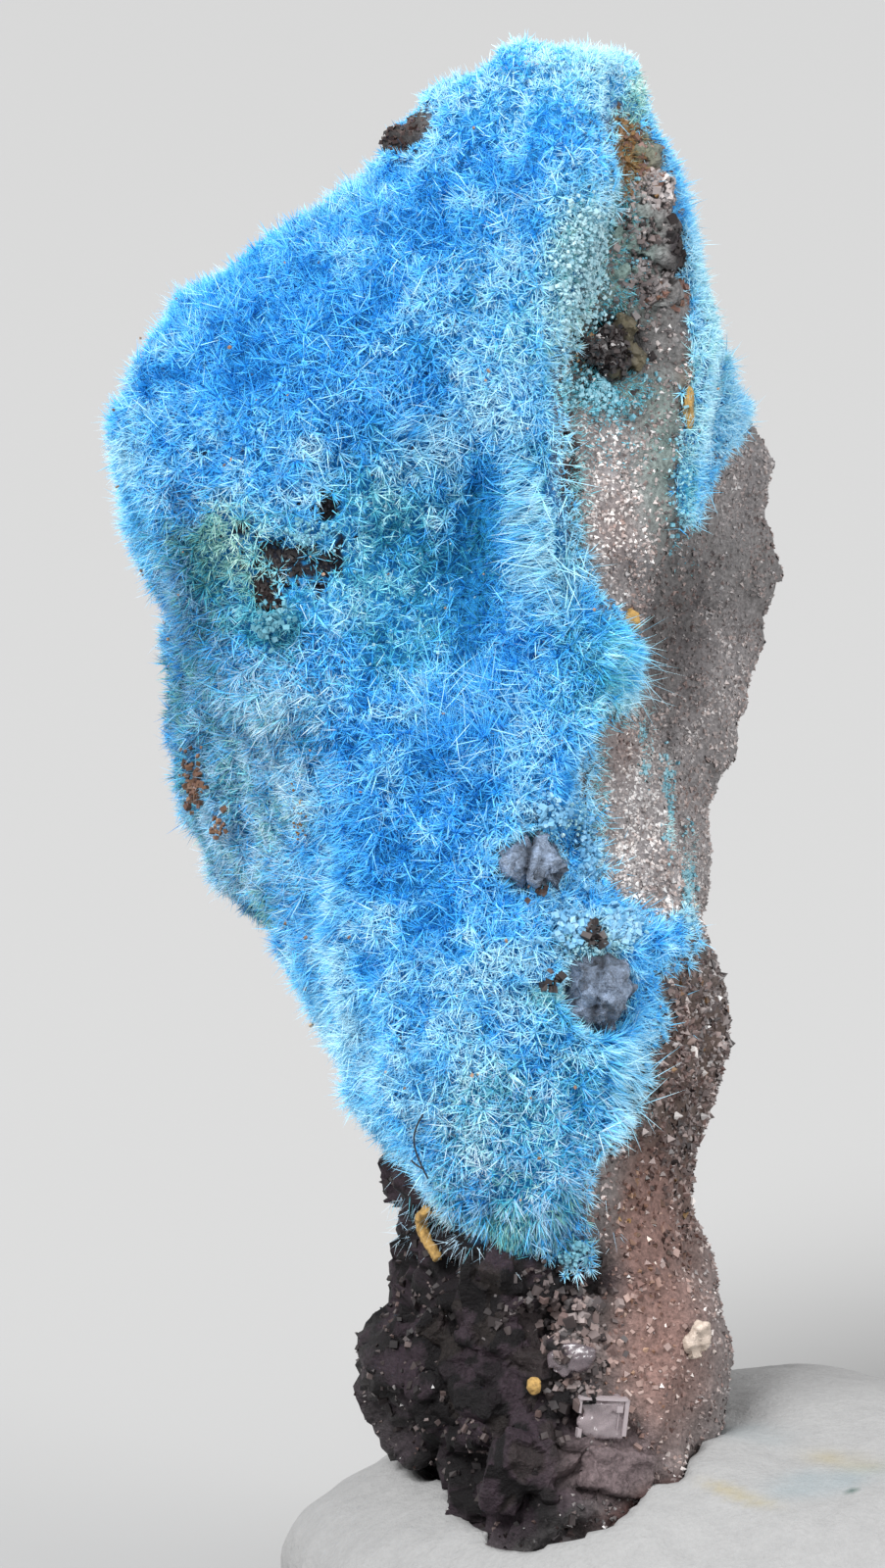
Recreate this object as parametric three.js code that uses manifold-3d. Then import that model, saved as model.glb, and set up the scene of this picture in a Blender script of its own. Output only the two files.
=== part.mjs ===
// A thumbnail specimen of cyanotrichite: an upright slab of sugary quartz rock whose front, left side
// and top wear a felt of blue needle crystals, with its foot pressed into a blob of mounting putty.
// Millimetres, +Z up. The finished group stands on z = 0 with the middle of its box over the origin.
//
// The stone is drawn in its own frame first: "u" to the right, "v" up along the stone and "w" away
// from the viewer. The stone leans back in the putty, and LEAN turns that frame into the world's.
import * as THREE from "three";
import { mergeVertices } from "three/addons/utils/BufferGeometryUtils.js";
import Module from "manifold-3d";

// Driving dimensions
const LEAN = THREE.MathUtils.degToRad(12); // how far the stone leans back
const STONE_ZERO_Z = 2.1; // height of the stone frame's origin above the surface it all stands on
const STONE_TOP = 18.85; // from the stone frame's origin to the crest of the rock, along v
const STONE_BOTTOM = -0.3; // the cut-off foot, hidden in the putty
const CRUST_FULL = 0.4; // how far the needle tips stand off the rock
const CRUST_EDGE = 0.14; // the same at the felt's ragged edge
const CRUST_TAPER = 0.45; // over this distance from the edge the felt reaches its full depth
const CONTACT_GAP = 0.03; // clearance between solids that touch
const LEVELS = 32; // sections up the stone
const END_CROWDING = 0.3; // how much closer together they are at the foot and the crest

// The ridges that run up the rock, anticlockwise seen from above. "columns" is how many columns of
// the surface lie between a ridge and the next, and each point is [v, u, w].
const RIDGES = {
  leftBack: {
    columns: 5,
    points: [
      [-0.3, -2.4, 1.8], [1.4, -2.9, 2.2], [2.2, -3.3, 2.4], [3.75, -3.0, 2.5], [6.25, -3.6, 2.8],
      [7.5, -4.5, 3.7], [8.4, -5.15, 4.1], [9.4, -5.6, 4.2], [10.6, -5.75, 4.0], [11.9, -5.95, 3.8],
      [13.75, -6.15, 3.2], [14.8, -5.9, 3.3], [16.0, -4.8, 3.4], [17.0, -3.5, 3.1], [17.8, -3.1, 2.6],
      [18.3, -2.7, 2.2], [18.6, -2.3, 2.0], [18.95, -1.4, 1.7],
    ],
  },
  leftFront: {
    columns: 4,
    points: [
      [-0.3, -2.2, -0.5], [0.5, -2.4, -0.4], [1.1, -2.7, 0.1], [1.5, -3.2, 0.7], [2.1, -3.45, 0.8],
      [2.6, -3.35, 0.9], [2.9, -2.95, 1.0], [3.9, -2.9, 1.0], [4.5, -3.2, 1.1], [5.2, -3.2, 1.1],
      [6.25, -3.55, 0.9], [7.5, -3.85, 0.4], [8.75, -4.0, 0.3], [10.0, -4.4, 0.4], [11.25, -5.05, 0.5],
      [12.5, -5.75, 0.7], [13.75, -6.35, 1.0], [14.5, -6.6, 1.1], [15.0, -6.42, 1.2],
      [15.6, -5.9, 1.4], [16.1, -5.25, 1.5], [16.6, -4.4, 1.5], [17.1, -3.55, 1.4], [17.5, -3.3, 1.4],
      [18.0, -3.2, 1.3], [18.3, -2.9, 1.2], [18.6, -2.5, 1.2], [18.95, -1.5, 1.2],
    ],
  },
  frontLeft: {
    columns: 4,
    points: [
      [-0.3, -1.9, -1.4], [0.6, -2.0, -1.3], [1.4, -2.3, -0.8], [3.75, -2.5, -0.1], [6.25, -3.1, -0.5],
      [8.75, -3.4, -0.5], [11.25, -4.3, -0.3], [13.75, -5.2, 0.0], [15.2, -4.9, 0.3],
      [16.2, -3.9, 0.6], [17.2, -2.8, 0.6], [18.4, -2.2, 0.8], [18.95, -1.3, 0.9],
    ],
  },
  frontHollow: {
    columns: 4,
    points: [
      [-0.3, -1.2, -1.7], [1.25, -1.5, -1.5], [3.75, -1.7, -0.9], [6.25, -2.0, -1.2],
      [8.75, -2.3, -0.9], [10.0, -2.4, -0.5], [11.25, -2.3, 0.1], [12.5, -2.5, 0.5],
      [13.75, -2.7, 0.2], [15.0, -2.7, -0.1], [17.0, -1.9, 0.1], [18.4, -1.4, 0.5], [18.95, -1.2, 0.8],
    ],
  },
  frontRoll: {
    columns: 3,
    points: [
      [-0.3, -0.6, -1.7], [1.25, -0.6, -1.4], [3.75, -0.8, -0.9], [6.25, -0.8, -0.9],
      [8.75, -1.2, -0.8], [10.0, -1.2, -0.6], [11.25, -0.9, -0.5], [12.5, -1.2, -0.4],
      [15.0, -1.3, -0.3], [17.5, -0.9, -0.1], [18.5, -0.9, 0.3], [18.95, -0.9, 0.8],
    ],
  },
  rightFront: {
    columns: 4,
    points: [
      [-0.3, 0.2, -1.3], [0.6, 0.35, -1.0], [1.25, 0.42, -0.7], [2.5, 0.4, -0.3], [3.75, 0.15, -0.1],
      [6.25, 0.3, 0.0], [7.5, 0.1, -0.1], [8.75, -0.2, -0.1], [10.0, -0.5, 0.0], [11.25, -0.5, 0.0],
      [12.5, -0.45, 0.1], [13.75, -0.8, 0.0], [15.0, -0.9, 0.0], [16.25, -0.7, 0.1],
      [17.5, -0.4, 0.3], [18.95, -0.6, 0.9],
    ],
  },
  rightSide: {
    columns: 3,
    points: [
      [-0.3, 0.5, 0.1], [0.6, 0.75, 0.3], [1.25, 0.92, 0.6], [2.0, 0.98, 0.8], [2.7, 0.88, 0.8],
      [3.6, 0.66, 1.0], [4.7, 0.72, 1.2], [5.3, 0.84, 1.3], [6.0, 1.06, 1.3], [7.0, 1.12, 1.3],
      [7.5, 1.05, 1.2], [7.9, 0.72, 1.1], [8.7, 0.52, 1.0], [9.5, 0.26, 0.9], [10.2, -0.1, 0.7],
      [10.8, -0.24, 0.6], [11.6, -0.14, 0.6], [12.2, 0.02, 0.7], [13.0, 0.5, 0.9],
      [13.6, 0.64, 1.1], [14.3, 0.68, 1.2], [15.0, 0.78, 1.2], [16.0, 0.72, 1.3], [16.85, 0.56, 1.2],
      [17.7, 0.3, 1.1], [18.5, -0.1, 1.0], [18.95, -0.5, 1.2],
    ],
  },
  rightHollow: {
    columns: 3,
    points: [
      [-0.3, 0.2, 1.2], [2.5, 0.8, 1.8], [4.7, 0.55, 2.1], [7.0, 0.8, 2.1], [8.7, 0.1, 2.1],
      [10.5, -0.3, 2.2], [12.5, -0.05, 2.4], [13.6, 0.4, 2.6], [15.0, 0.6, 2.5], [17.0, 0.45, 2.0],
      [18.5, -0.1, 1.5], [18.95, -0.5, 1.4],
    ],
  },
  rightBack: {
    columns: 5,
    points: [
      [-0.3, 0.1, 2.0], [1.25, 0.4, 2.3], [2.5, 0.6, 2.6], [5.0, 0.5, 2.9], [6.9, 0.8, 3.0],
      [8.1, 0.75, 3.3], [8.7, 0.85, 3.6], [9.5, 1.05, 3.9], [10.5, 1.43, 4.2], [11.6, 1.65, 4.5],
      [12.8, 1.95, 4.6], [13.6, 1.85, 4.5], [14.2, 1.4, 4.2], [14.8, 0.95, 3.8], [15.6, 0.65, 3.2],
      [17.0, 0.4, 2.7], [18.2, 0.0, 2.1], [18.95, -0.6, 1.7],
    ],
  },
  back: {
    columns: 5,
    points: [
      [-0.3, -1.1, 2.6], [1.25, -1.3, 3.0], [3.75, -1.2, 3.4], [6.25, -1.5, 3.8], [8.75, -2.0, 4.9],
      [11.25, -1.8, 5.6], [12.8, -1.5, 5.8], [14.4, -1.9, 5.3], [16.0, -2.0, 4.4], [17.5, -1.4, 3.4],
      [18.4, -1.2, 2.6], [18.95, -1.1, 2.0],
    ],
  },
};

// The felt's outline as the viewer sees it, in u and v. It runs down the right rim, up round the
// bare window of rock, down the felt's right edge, round its tongue and out past the left side.
const FELT_FRONT = [
  [-8.0, 21.0], [2.9, 21.0], [2.9, 15.2], [1.7, 14.7], [1.3, 14.1], [0.95, 13.75], [0.7, 13.0],
  [0.52, 13.0], [0.5, 13.8], [0.58, 14.4], [0.68, 15.0], [0.6, 16.0], [0.42, 16.85], [0.14, 17.7],
  [-0.2, 18.3], [-0.42, 18.5], [-0.48, 18.0], [-0.4, 17.2], [-0.6, 16.4], [-0.9, 15.6],
  [-1.08, 14.9], [-1.1, 14.1], [-0.98, 13.3], [-0.85, 12.7], [-0.62, 12.2], [-0.25, 11.7],
  [-0.04, 11.35], [-0.06, 10.85], [-0.45, 10.68], [-0.72, 10.35], [-0.8, 9.7], [-0.72, 9.05],
  [-0.58, 8.55], [-0.25, 8.15], [0.35, 7.85], [0.6, 8.1], [0.68, 7.65], [0.5, 7.5], [0.08, 7.35],
  [0.04, 7.05], [0.26, 6.7], [-0.05, 6.4], [-0.02, 5.95], [-0.26, 5.4], [-0.68, 4.9],
  [-0.84, 4.3], [-0.7, 3.75], [-0.88, 3.58], [-1.3, 3.85], [-1.75, 3.75], [-2.2, 4.0],
  [-2.65, 4.25], [-2.85, 4.55], [-3.15, 4.8], [-3.5, 5.0], [-4.2, 5.6], [-8.0, 6.1],
];
// A nick in the felt at the shoulder, where brown rock shows, and how far back it goes
const FELT_NICK = [
  [-3.9, 17.75], [-3.1, 17.65], [-2.75, 18.05], [-2.8, 18.4], [-3.1, 18.5], [-3.9, 18.4],
];
const NICK_BACK = 2.2;
// How far back the felt reaches, seen from the side, in w and v. It hugs the left and top edges.
const FELT_SIDE = [
  [-4.0, 3.0], [2.4, 3.0], [2.7, 5.6], [3.6, 7.0], [4.5, 8.2], [5.0, 9.6], [4.6, 11.0], [4.9, 12.2],
  [4.4, 13.6], [4.9, 14.8], [4.3, 16.0], [4.4, 17.2], [3.4, 18.2], [3.2, 21.0], [-4.0, 21.0],
];
// Where the felt's right edge stops on its way round the side of the stone
const FELT_TURN = { u: -0.75, w: 1.15, v: 13.0 };
// Hollows in the felt: u, v, radius and how much depth is lost
const FELT_PITS = [
  [-6.15, 14.85, 0.45, 0.16], [-4.1, 13.25, 0.4, 0.2], [-4.45, 12.55, 0.5, 0.22],
  [-4.95, 12.2, 0.4, 0.18], [-4.8, 11.7, 0.35, 0.12], [-5.75, 13.8, 0.35, 0.12],
  [-1.9, 13.9, 0.5, 0.12], [-3.1, 12.4, 0.8, 0.14], [-2.2, 12.6, 0.45, 0.2], [-0.9, 8.75, 0.4, 0.2],
  [-3.6, 10.0, 0.5, 0.12], [-2.9, 8.3, 0.45, 0.14], [-1.9, 7.4, 0.45, 0.12],
];

// Grains and crystals that sit on the rock: centre in u and v, then their size
const KNOBS = {
  grey_quartz_knob_upper: { u: -1.42, v: 8.8, reach: [0.44, 0.31, 0.5], turn: [0.2, 0.3, 0.35] },
  grey_quartz_knob_lower: { u: -0.68, v: 7.12, reach: [0.52, 0.5, 0.55], turn: [0.1, -0.3, -0.5] },
};
const BLACK_CLUSTER = { u: -0.42, v: 15.3, spread: 0.3, crystals: 6, edge: 0.26 };
// The plates' outlines are shares of their width and height, and "turn" is in radians
const PLATES = {
  clear_square_crystal: {
    u: -0.62, v: 1.76, width: 0.66, height: 0.56, thickness: 0.2, turn: [0.15, 0.1, 0.25],
    outline: [
      [0.15, 0.02], [0.95, 0.0], [1.0, 0.85], [0.82, 1.0], [0.5, 0.86], [0.12, 0.95], [0.0, 0.8],
      [0.12, 0.6], [0.04, 0.35],
    ],
  },
  clear_flake: {
    u: -0.94, v: 2.48, width: 0.6, height: 0.42, thickness: 0.12, turn: [-0.2, -0.3, -0.3],
    outline: [[0.2, 0.0], [0.75, 0.1], [1.0, 0.5], [0.85, 0.8], [0.4, 1.0], [0.05, 0.75], [0.0, 0.3]],
  },
  cream_flake: {
    u: 0.6, v: 2.64, width: 0.34, height: 0.5, thickness: 0.16, turn: [0.1, 0.2, 0.6],
    outline: [[0.3, 0.0], [0.8, 0.1], [1.0, 0.6], [0.7, 1.0], [0.2, 0.85], [0.0, 0.4]],
  },
};
const OCHRE_CURL = { u: -2.76, v: 3.95, height: 0.66, width: 0.26, thickness: 0.16 };
const OCHRE_GRAINS = {
  ochre_grain_foot: { u: -1.44, v: 2.14, radius: 0.11 },
  ochre_grain_side: { u: -0.19, v: 11.8, radius: 0.14 },
  ochre_fleck_rim: { u: 0.55, v: 14.5, radius: 0.15 },
};
const DRUSE = { crystals: 14, radius: 0.17, height: 0.34 };

// The blob of putty, in the world's own axes before it is centred
const PUTTY = {
  x: 0.9, y: 1.4, halfWidth: 5.5, halfDepth: 5.2, height: 3.3, waist: 1.3, foot: 0.84,
  rings: 10, columns: 30, rightRise: 0.03, dent: 0.1, collar: 0.05,
};

const wasm = await Module();
wasm.setup();

// A steady pseudo-random number from 0 to 1 for three whole numbers
function hash(i, j, k) {
  const s = Math.sin(i * 127.1 + j * 311.7 + k * 74.7) * 43758.5453;
  return s - Math.floor(s);
}

// Smooth noise from -1 to 1 whose lumps are about one unit across
function noise(x, y, z) {
  const [i, j, k] = [x, y, z].map(Math.floor);
  const [fx, fy, fz] = [x - i, y - j, z - k].map((t) => t * t * (3 - 2 * t));
  const mix = THREE.MathUtils.lerp;
  const row = (b, c) => mix(hash(i, j + b, k + c), hash(i + 1, j + b, k + c), fx);
  const plane = (c) => mix(row(0, c), row(1, c), fy);
  return 2 * mix(plane(0), plane(1), fz) - 1;
}

// A value from -1 to 1 that is steady over each block of a broken mass about one unit across
function block(x, y, z) {
  let nearest = Infinity;
  let value = 0;
  for (let i = Math.floor(x) - 1; i <= Math.floor(x) + 1; i++) {
    for (let j = Math.floor(y) - 1; j <= Math.floor(y) + 1; j++) {
      for (let k = Math.floor(z) - 1; k <= Math.floor(z) + 1; k++) {
        const [cx, cy, cz] = [i + hash(i, j, k), j + hash(j, k, i), k + hash(k, i, j)];
        const away = Math.hypot(x - cx, y - cy, z - cz);
        if (away < nearest) {
          nearest = away;
          value = 2 * hash(i + 3, j + 5, k + 7) - 1;
        }
      }
    }
  }
  return value;
}

// A closed geometry as a solid for joining and cutting
function solidOf(geometry) {
  const bare = geometry.index ? geometry.toNonIndexed() : geometry.clone();
  for (const name of Object.keys(bare.attributes)) {
    if (name !== "position") bare.deleteAttribute(name);
  }
  const merged = mergeVertices(bare, 1e-4);
  return new wasm.Manifold(
    new wasm.Mesh({
      numProp: 3,
      vertProperties: new Float32Array(merged.attributes.position.array),
      triVerts: new Uint32Array(merged.index.array),
    }),
  );
}

// The way back, keeping only the largest body where a cut has left crumbs
function geometryOf(solid) {
  const bodies = solid.decompose().sort((a, b) => b.volume() - a.volume());
  const mesh = bodies[0].getMesh();
  const places = new Float32Array(mesh.numVert * 3);
  for (let i = 0; i < mesh.numVert; i++) {
    places.set(mesh.vertProperties.subarray(i * mesh.numProp, i * mesh.numProp + 3), i * 3);
  }
  return new THREE.BufferGeometry()
    .setAttribute("position", new THREE.BufferAttribute(places, 3))
    .setIndex(new THREE.BufferAttribute(new Uint32Array(mesh.triVerts), 1));
}

// From the stone's frame to the world's: w is +y and v is +z before the lean
const stoneToWorld = new THREE.Matrix4()
  .makeTranslation(0, 0, STONE_ZERO_Z)
  .multiply(new THREE.Matrix4().makeRotationX(-LEAN));
const stonePoint = (u, v, w) => new THREE.Vector3(u, w, v);

// Where a ridge passes the height v
function ridgeAt(ridge, v) {
  const after = Math.max(1, ridge.findIndex((p) => p[0] >= v));
  const spots = [after - 2, after - 1, after, after + 1].map(
    (i) => ridge[THREE.MathUtils.clamp(i, 0, ridge.length - 1)],
  );
  const span = spots[2][0] - spots[1][0];
  const t = (v - spots[1][0]) / span;
  const slope = (i, axis) => {
    const rise = spots[i + 1][0] - spots[i - 1][0];
    return rise > 0 ? ((spots[i + 1][axis] - spots[i - 1][axis]) / rise) * span : 0;
  };
  const hermite = (axis) => {
    const [a, b] = [spots[1][axis], spots[2][axis]];
    const [ta, tb] = [slope(1, axis), slope(2, axis)];
    const [t2, t3] = [t * t, t * t * t];
    return (2 * t3 - 3 * t2 + 1) * a + (t3 - 2 * t2 + t) * ta + (3 * t2 - 2 * t3) * b + (t3 - t2) * tb;
  };
  return stonePoint(hermite(1), v, hermite(2));
}

// One section through the rock: between flat facets and a smooth curve through the ridges
function sectionAt(v) {
  const ridges = Object.values(RIDGES);
  const corners = ridges.map(({ points }) => ridgeAt(points, v));
  const curve = new THREE.CatmullRomCurve3(corners, true, "centripetal");
  const roundness = 0.6;
  const section = [];
  corners.forEach((corner, i) => {
    const next = corners[(i + 1) % corners.length];
    const { columns } = ridges[i];
    for (let column = 0; column < columns; column++) {
      const t = column / columns;
      const straight = corner.clone().lerp(next, t);
      section.push(straight.lerp(curve.getPoint((i + t) / corners.length), roundness));
    }
  });
  return section;
}

// The bare form of the rock as one closed grid, before any roughness
function rockForm() {
  const rings = [];
  for (let level = 0; level <= LEVELS; level++) {
    const even = level / LEVELS;
    const share = even - (END_CROWDING * Math.sin(2 * Math.PI * even)) / (2 * Math.PI);
    rings.push(sectionAt(THREE.MathUtils.lerp(STONE_BOTTOM, STONE_TOP, share)));
  }
  const columns = rings[0].length;
  const points = rings.flat();
  const middle = (ring, lift) =>
    ring.reduce((sum, p) => sum.add(p), new THREE.Vector3()).divideScalar(columns).setZ(ring[0].z + lift);
  const bottom = points.push(middle(rings[0], 0)) - 1;
  const top = points.push(middle(rings[LEVELS], 0.12)) - 1;
  const faces = [];
  for (let level = 0; level < LEVELS; level++) {
    for (let c = 0; c < columns; c++) {
      const a = level * columns + c;
      const b = level * columns + ((c + 1) % columns);
      faces.push(a, b, b + columns, a, b + columns, a + columns);
    }
  }
  const last = LEVELS * columns;
  for (let c = 0; c < columns; c++) {
    const next = (c + 1) % columns;
    faces.push(bottom, next, c, top, last + c, last + next);
  }
  const form = new THREE.BufferGeometry().setFromPoints(points).setIndex(faces);
  form.computeVertexNormals();
  return form;
}

// The rock form pushed out along its normals by a depth that may vary from place to place
function pushedOut(form, depthAt) {
  const pushed = form.clone();
  const place = new THREE.Vector3();
  const normal = new THREE.Vector3();
  for (let i = 0; i < form.attributes.position.count; i++) {
    place.fromBufferAttribute(form.attributes.position, i);
    normal.fromBufferAttribute(form.attributes.normal, i);
    const moved = place.clone().addScaledVector(normal, depthAt(place));
    pushed.attributes.position.setXYZ(i, moved.x, moved.y, moved.z);
  }
  return pushed;
}

// How rough the rock is: broad lumps, coarser at the back, with broken blocks at the dark foot
function rockRoughness(p) {
  const { smoothstep } = THREE.MathUtils;
  const behind = smoothstep(p.y, 1.6, 3.4);
  const foot = smoothstep(-p.z, -5, -3);
  const broad = (0.11 + 0.12 * behind) * noise(p.x / 1.5, p.y / 1.5, p.z / 1.5);
  const fine = 0.06 * noise(p.x / 0.6 + 9, p.y / 0.6, p.z / 0.6);
  const rubble = 0.22 * block(p.x / 0.8, p.y / 0.8 + 5, p.z / 0.7);
  const lumps = 0.13 * block(p.x / 1.3 + 4, p.y / 1.3, p.z / 1.3);
  return broad + fine + foot * rubble + behind * lumps;
}

// Distance from a point to the felt's outline or its nick, in the plane of u and v
function distanceToEdge(u, v) {
  let least = Infinity;
  for (const outline of [FELT_FRONT, FELT_NICK]) {
    outline.forEach(([bu, bv], i) => {
      const [au, av] = outline[(i + outline.length - 1) % outline.length];
      const [eu, ev] = [bu - au, bv - av];
      const share = ((u - au) * eu + (v - av) * ev) / (eu ** 2 + ev ** 2);
      const along = THREE.MathUtils.clamp(share, 0, 1);
      least = Math.min(least, Math.hypot(u - au - along * eu, v - av - along * ev));
    });
  }
  return least;
}

// The needle tips' height over the rock: thin at the felt's edge and tufted elsewhere
function feltDepth(p) {
  const inner = THREE.MathUtils.smoothstep(distanceToEdge(p.x, p.z), 0, CRUST_TAPER);
  const depth = THREE.MathUtils.lerp(CRUST_EDGE, CRUST_FULL, inner);
  const tufts = 0.1 * noise(p.x / 0.9, p.y / 0.9, p.z / 0.9 + 3);
  const pits = FELT_PITS.reduce((sum, [u, v, radius, loss]) => {
    return sum + loss * Math.exp(-(((p.x - u) ** 2 + (p.z - v) ** 2) / radius ** 2));
  }, 0);
  return rockRoughness(p) + depth + inner * tufts - Math.min(pits, depth - CRUST_EDGE);
}

// An outline in two of the stone's axes, drawn through the stone along the third
function prism(outline, length, intoStone) {
  const shape = new THREE.Shape(outline.map(([a, b]) => new THREE.Vector2(a, b)));
  const slab = new THREE.ExtrudeGeometry(shape, { depth: length, bevelEnabled: false });
  slab.applyMatrix4(intoStone);
  return solidOf(slab);
}

function feltRegion() {
  const reach = 8;
  // u and v stay, and the extrusion runs forwards from the depth w = back
  const front = (back) => new THREE.Matrix4().makeBasis(
    new THREE.Vector3(1, 0, 0), new THREE.Vector3(0, 0, 1), new THREE.Vector3(0, -1, 0),
  ).setPosition(0, back, 0);
  // w and v stay, and the extrusion runs along u
  const side = new THREE.Matrix4().makeBasis(
    new THREE.Vector3(0, 1, 0), new THREE.Vector3(0, 0, 1), new THREE.Vector3(1, 0, 0),
  ).setPosition(-reach, 0, 0);
  const { u, w, v } = FELT_TURN;
  const turn = new THREE.BoxGeometry(reach, reach, v);
  turn.translate(u + reach / 2, w + reach / 2, v / 2);
  return prism(FELT_FRONT, 2 * reach, front(reach))
    .intersect(prism(FELT_SIDE, 2 * reach, side))
    .subtract(prism(FELT_NICK, reach, front(NICK_BACK)))
    .subtract(solidOf(turn));
}

// Depth w at which the viewer's line of sight at u, v first meets the surface
function surfaceDepth(surface, u, v) {
  const ray = new THREE.Raycaster(stonePoint(u, v, -20), new THREE.Vector3(0, 1, 0));
  const hits = ray.intersectObject(new THREE.Mesh(surface, new THREE.MeshBasicMaterial()));
  if (!hits.length) throw new Error(`nothing to sit on at ${u}, ${v}`);
  return hits[0].point.y;
}

// A worn grain: a faceted ball whose corners are pulled in and out
function grain(radius, reach, seed, detail = 1) {
  const ball = new THREE.IcosahedronGeometry(radius, detail);
  const at = ball.attributes.position;
  for (let i = 0; i < at.count; i++) {
    const p = new THREE.Vector3().fromBufferAttribute(at, i).normalize();
    const pull = 1 + 0.22 * noise(p.x * 1.7 + seed, p.y * 1.7, p.z * 1.7);
    p.multiplyScalar(radius * pull);
    at.setXYZ(i, p.x * reach[0], p.y * reach[2], p.z * reach[1]);
  }
  return ball;
}

function placed(geometry, place, turn = [0, 0, 0]) {
  const matrix = new THREE.Matrix4().makeRotationFromEuler(new THREE.Euler(...turn)).setPosition(place);
  return geometry.applyMatrix4(matrix);
}

// The two grey grains that stand out through the felt
function knobGeometry(rock, { u, v, reach, turn }, seed) {
  const w = surfaceDepth(rock, u, v);
  return placed(grain(1, reach, seed), stonePoint(u, v, w - 0.12), turn);
}

// A plate with nibbled corners that lies nearly flat on the rock
function plateGeometry(rock, { u, v, width, height, thickness, turn, outline }) {
  const shape = new THREE.Shape(
    outline.map(([a, b]) => new THREE.Vector2((a - 0.5) * width, (b - 0.5) * height)),
  );
  const plate = new THREE.ExtrudeGeometry(shape, { depth: thickness, bevelEnabled: false });
  plate.rotateX(Math.PI / 2);
  const w = surfaceDepth(rock, u, v);
  return placed(plate, stonePoint(u, v, w - thickness * 0.1), turn);
}

// Several small black cubes grown through each other
function blackCluster(rock) {
  const { u, v, spread, crystals, edge } = BLACK_CLUSTER;
  let cluster = null;
  for (let i = 0; i < crystals; i++) {
    const angle = i * 2.4;
    const away = spread * Math.sqrt(i / crystals);
    const size = edge * (1.2 - 0.4 * hash(i, 3, 1));
    const [cu, cv] = [u + away * Math.cos(angle), v + 1.2 * away * Math.sin(angle)];
    const cube = placed(
      new THREE.BoxGeometry(size, size, size),
      stonePoint(cu, cv, surfaceDepth(rock, cu, cv) - 0.05),
      [hash(i, 1, 1) * 3, hash(i, 1, 2) * 3, hash(i, 1, 3) * 3],
    );
    cluster = cluster ? cluster.add(solidOf(cube)) : solidOf(cube);
  }
  return cluster;
}

// A hook of ochre that clings to the dark foot
function ochreCurl(rock) {
  const { u, v, height, width, thickness } = OCHRE_CURL;
  const hook = [[0.5, 0.5], [-0.3, 0.42], [-0.45, 0.1], [-0.1, -0.2], [0.4, -0.5]].map(([a, b]) => {
    const [hu, hv] = [u + a * width, v + b * height];
    return stonePoint(hu, hv, surfaceDepth(rock, hu, hv) - 0.04);
  });
  const section = new THREE.Shape();
  section.absarc(0, 0, thickness / 2, 0, 2 * Math.PI);
  return new THREE.ExtrudeGeometry(section, {
    curveSegments: 3,
    steps: 7,
    extrudePath: new THREE.CatmullRomCurve3(hook),
  });
}

// Short six-sided quartz points spread over the bare rock, clear of the felt
function druse(rock) {
  const { crystals, radius, height } = DRUSE;
  const at = rock.attributes.position;
  const normals = rock.attributes.normal;
  const up = new THREE.Vector3(0, 1, 0);
  const points = [];
  for (let i = 0; points.length < crystals; i++) {
    const pick = Math.floor(hash(i, 17, 5) * at.count);
    const place = new THREE.Vector3().fromBufferAttribute(at, pick);
    const inFelt = distanceToEdge(place.x, place.z) < 0.3 || insideFelt(place);
    if (inFelt || place.z < 1.6) continue;
    const normal = new THREE.Vector3().fromBufferAttribute(normals, pick).normalize();
    const size = 0.6 + 0.7 * hash(i, 2, 9);
    const point = new THREE.ConeGeometry(radius * size, height * size, 6);
    const tilt = new THREE.Vector3(hash(i, 4, 1) - 0.5, hash(i, 4, 2) - 0.5, hash(i, 4, 3) - 0.5);
    const heading = normal.addScaledVector(tilt, 0.9).normalize();
    const turn = new THREE.Quaternion().setFromUnitVectors(up, heading);
    point.applyQuaternion(turn).translate(place.x, place.y, place.z);
    points.push(point);
  }
  return points;
}

// Whether the felt covers a point of the rock's surface
function insideFelt(p) {
  const within = (outline, a, b) => {
    let inside = false;
    outline.forEach(([x2, y2], i) => {
      const [x1, y1] = outline[(i + outline.length - 1) % outline.length];
      if (y1 > b !== y2 > b && a < x1 + ((b - y1) / (y2 - y1)) * (x2 - x1)) inside = !inside;
    });
    return inside;
  };
  return within(FELT_FRONT, p.x, p.z) && within(FELT_SIDE, p.y, p.z);
}

// How finger dents, the tilt to the right and the collar squeezed up round the stone lift the dome
function puttyRise(px, py) {
  const { x, rightRise, dent, collar } = PUTTY;
  const fromStone = Math.hypot((px + 1.0) / 2.2, (py - 0.3) / 2.6);
  const dents = dent * noise(px / 2.2, py / 2.2, 7);
  return rightRise * (px - x) + dents + collar * Math.exp(-(fromStone ** 4));
}

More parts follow.
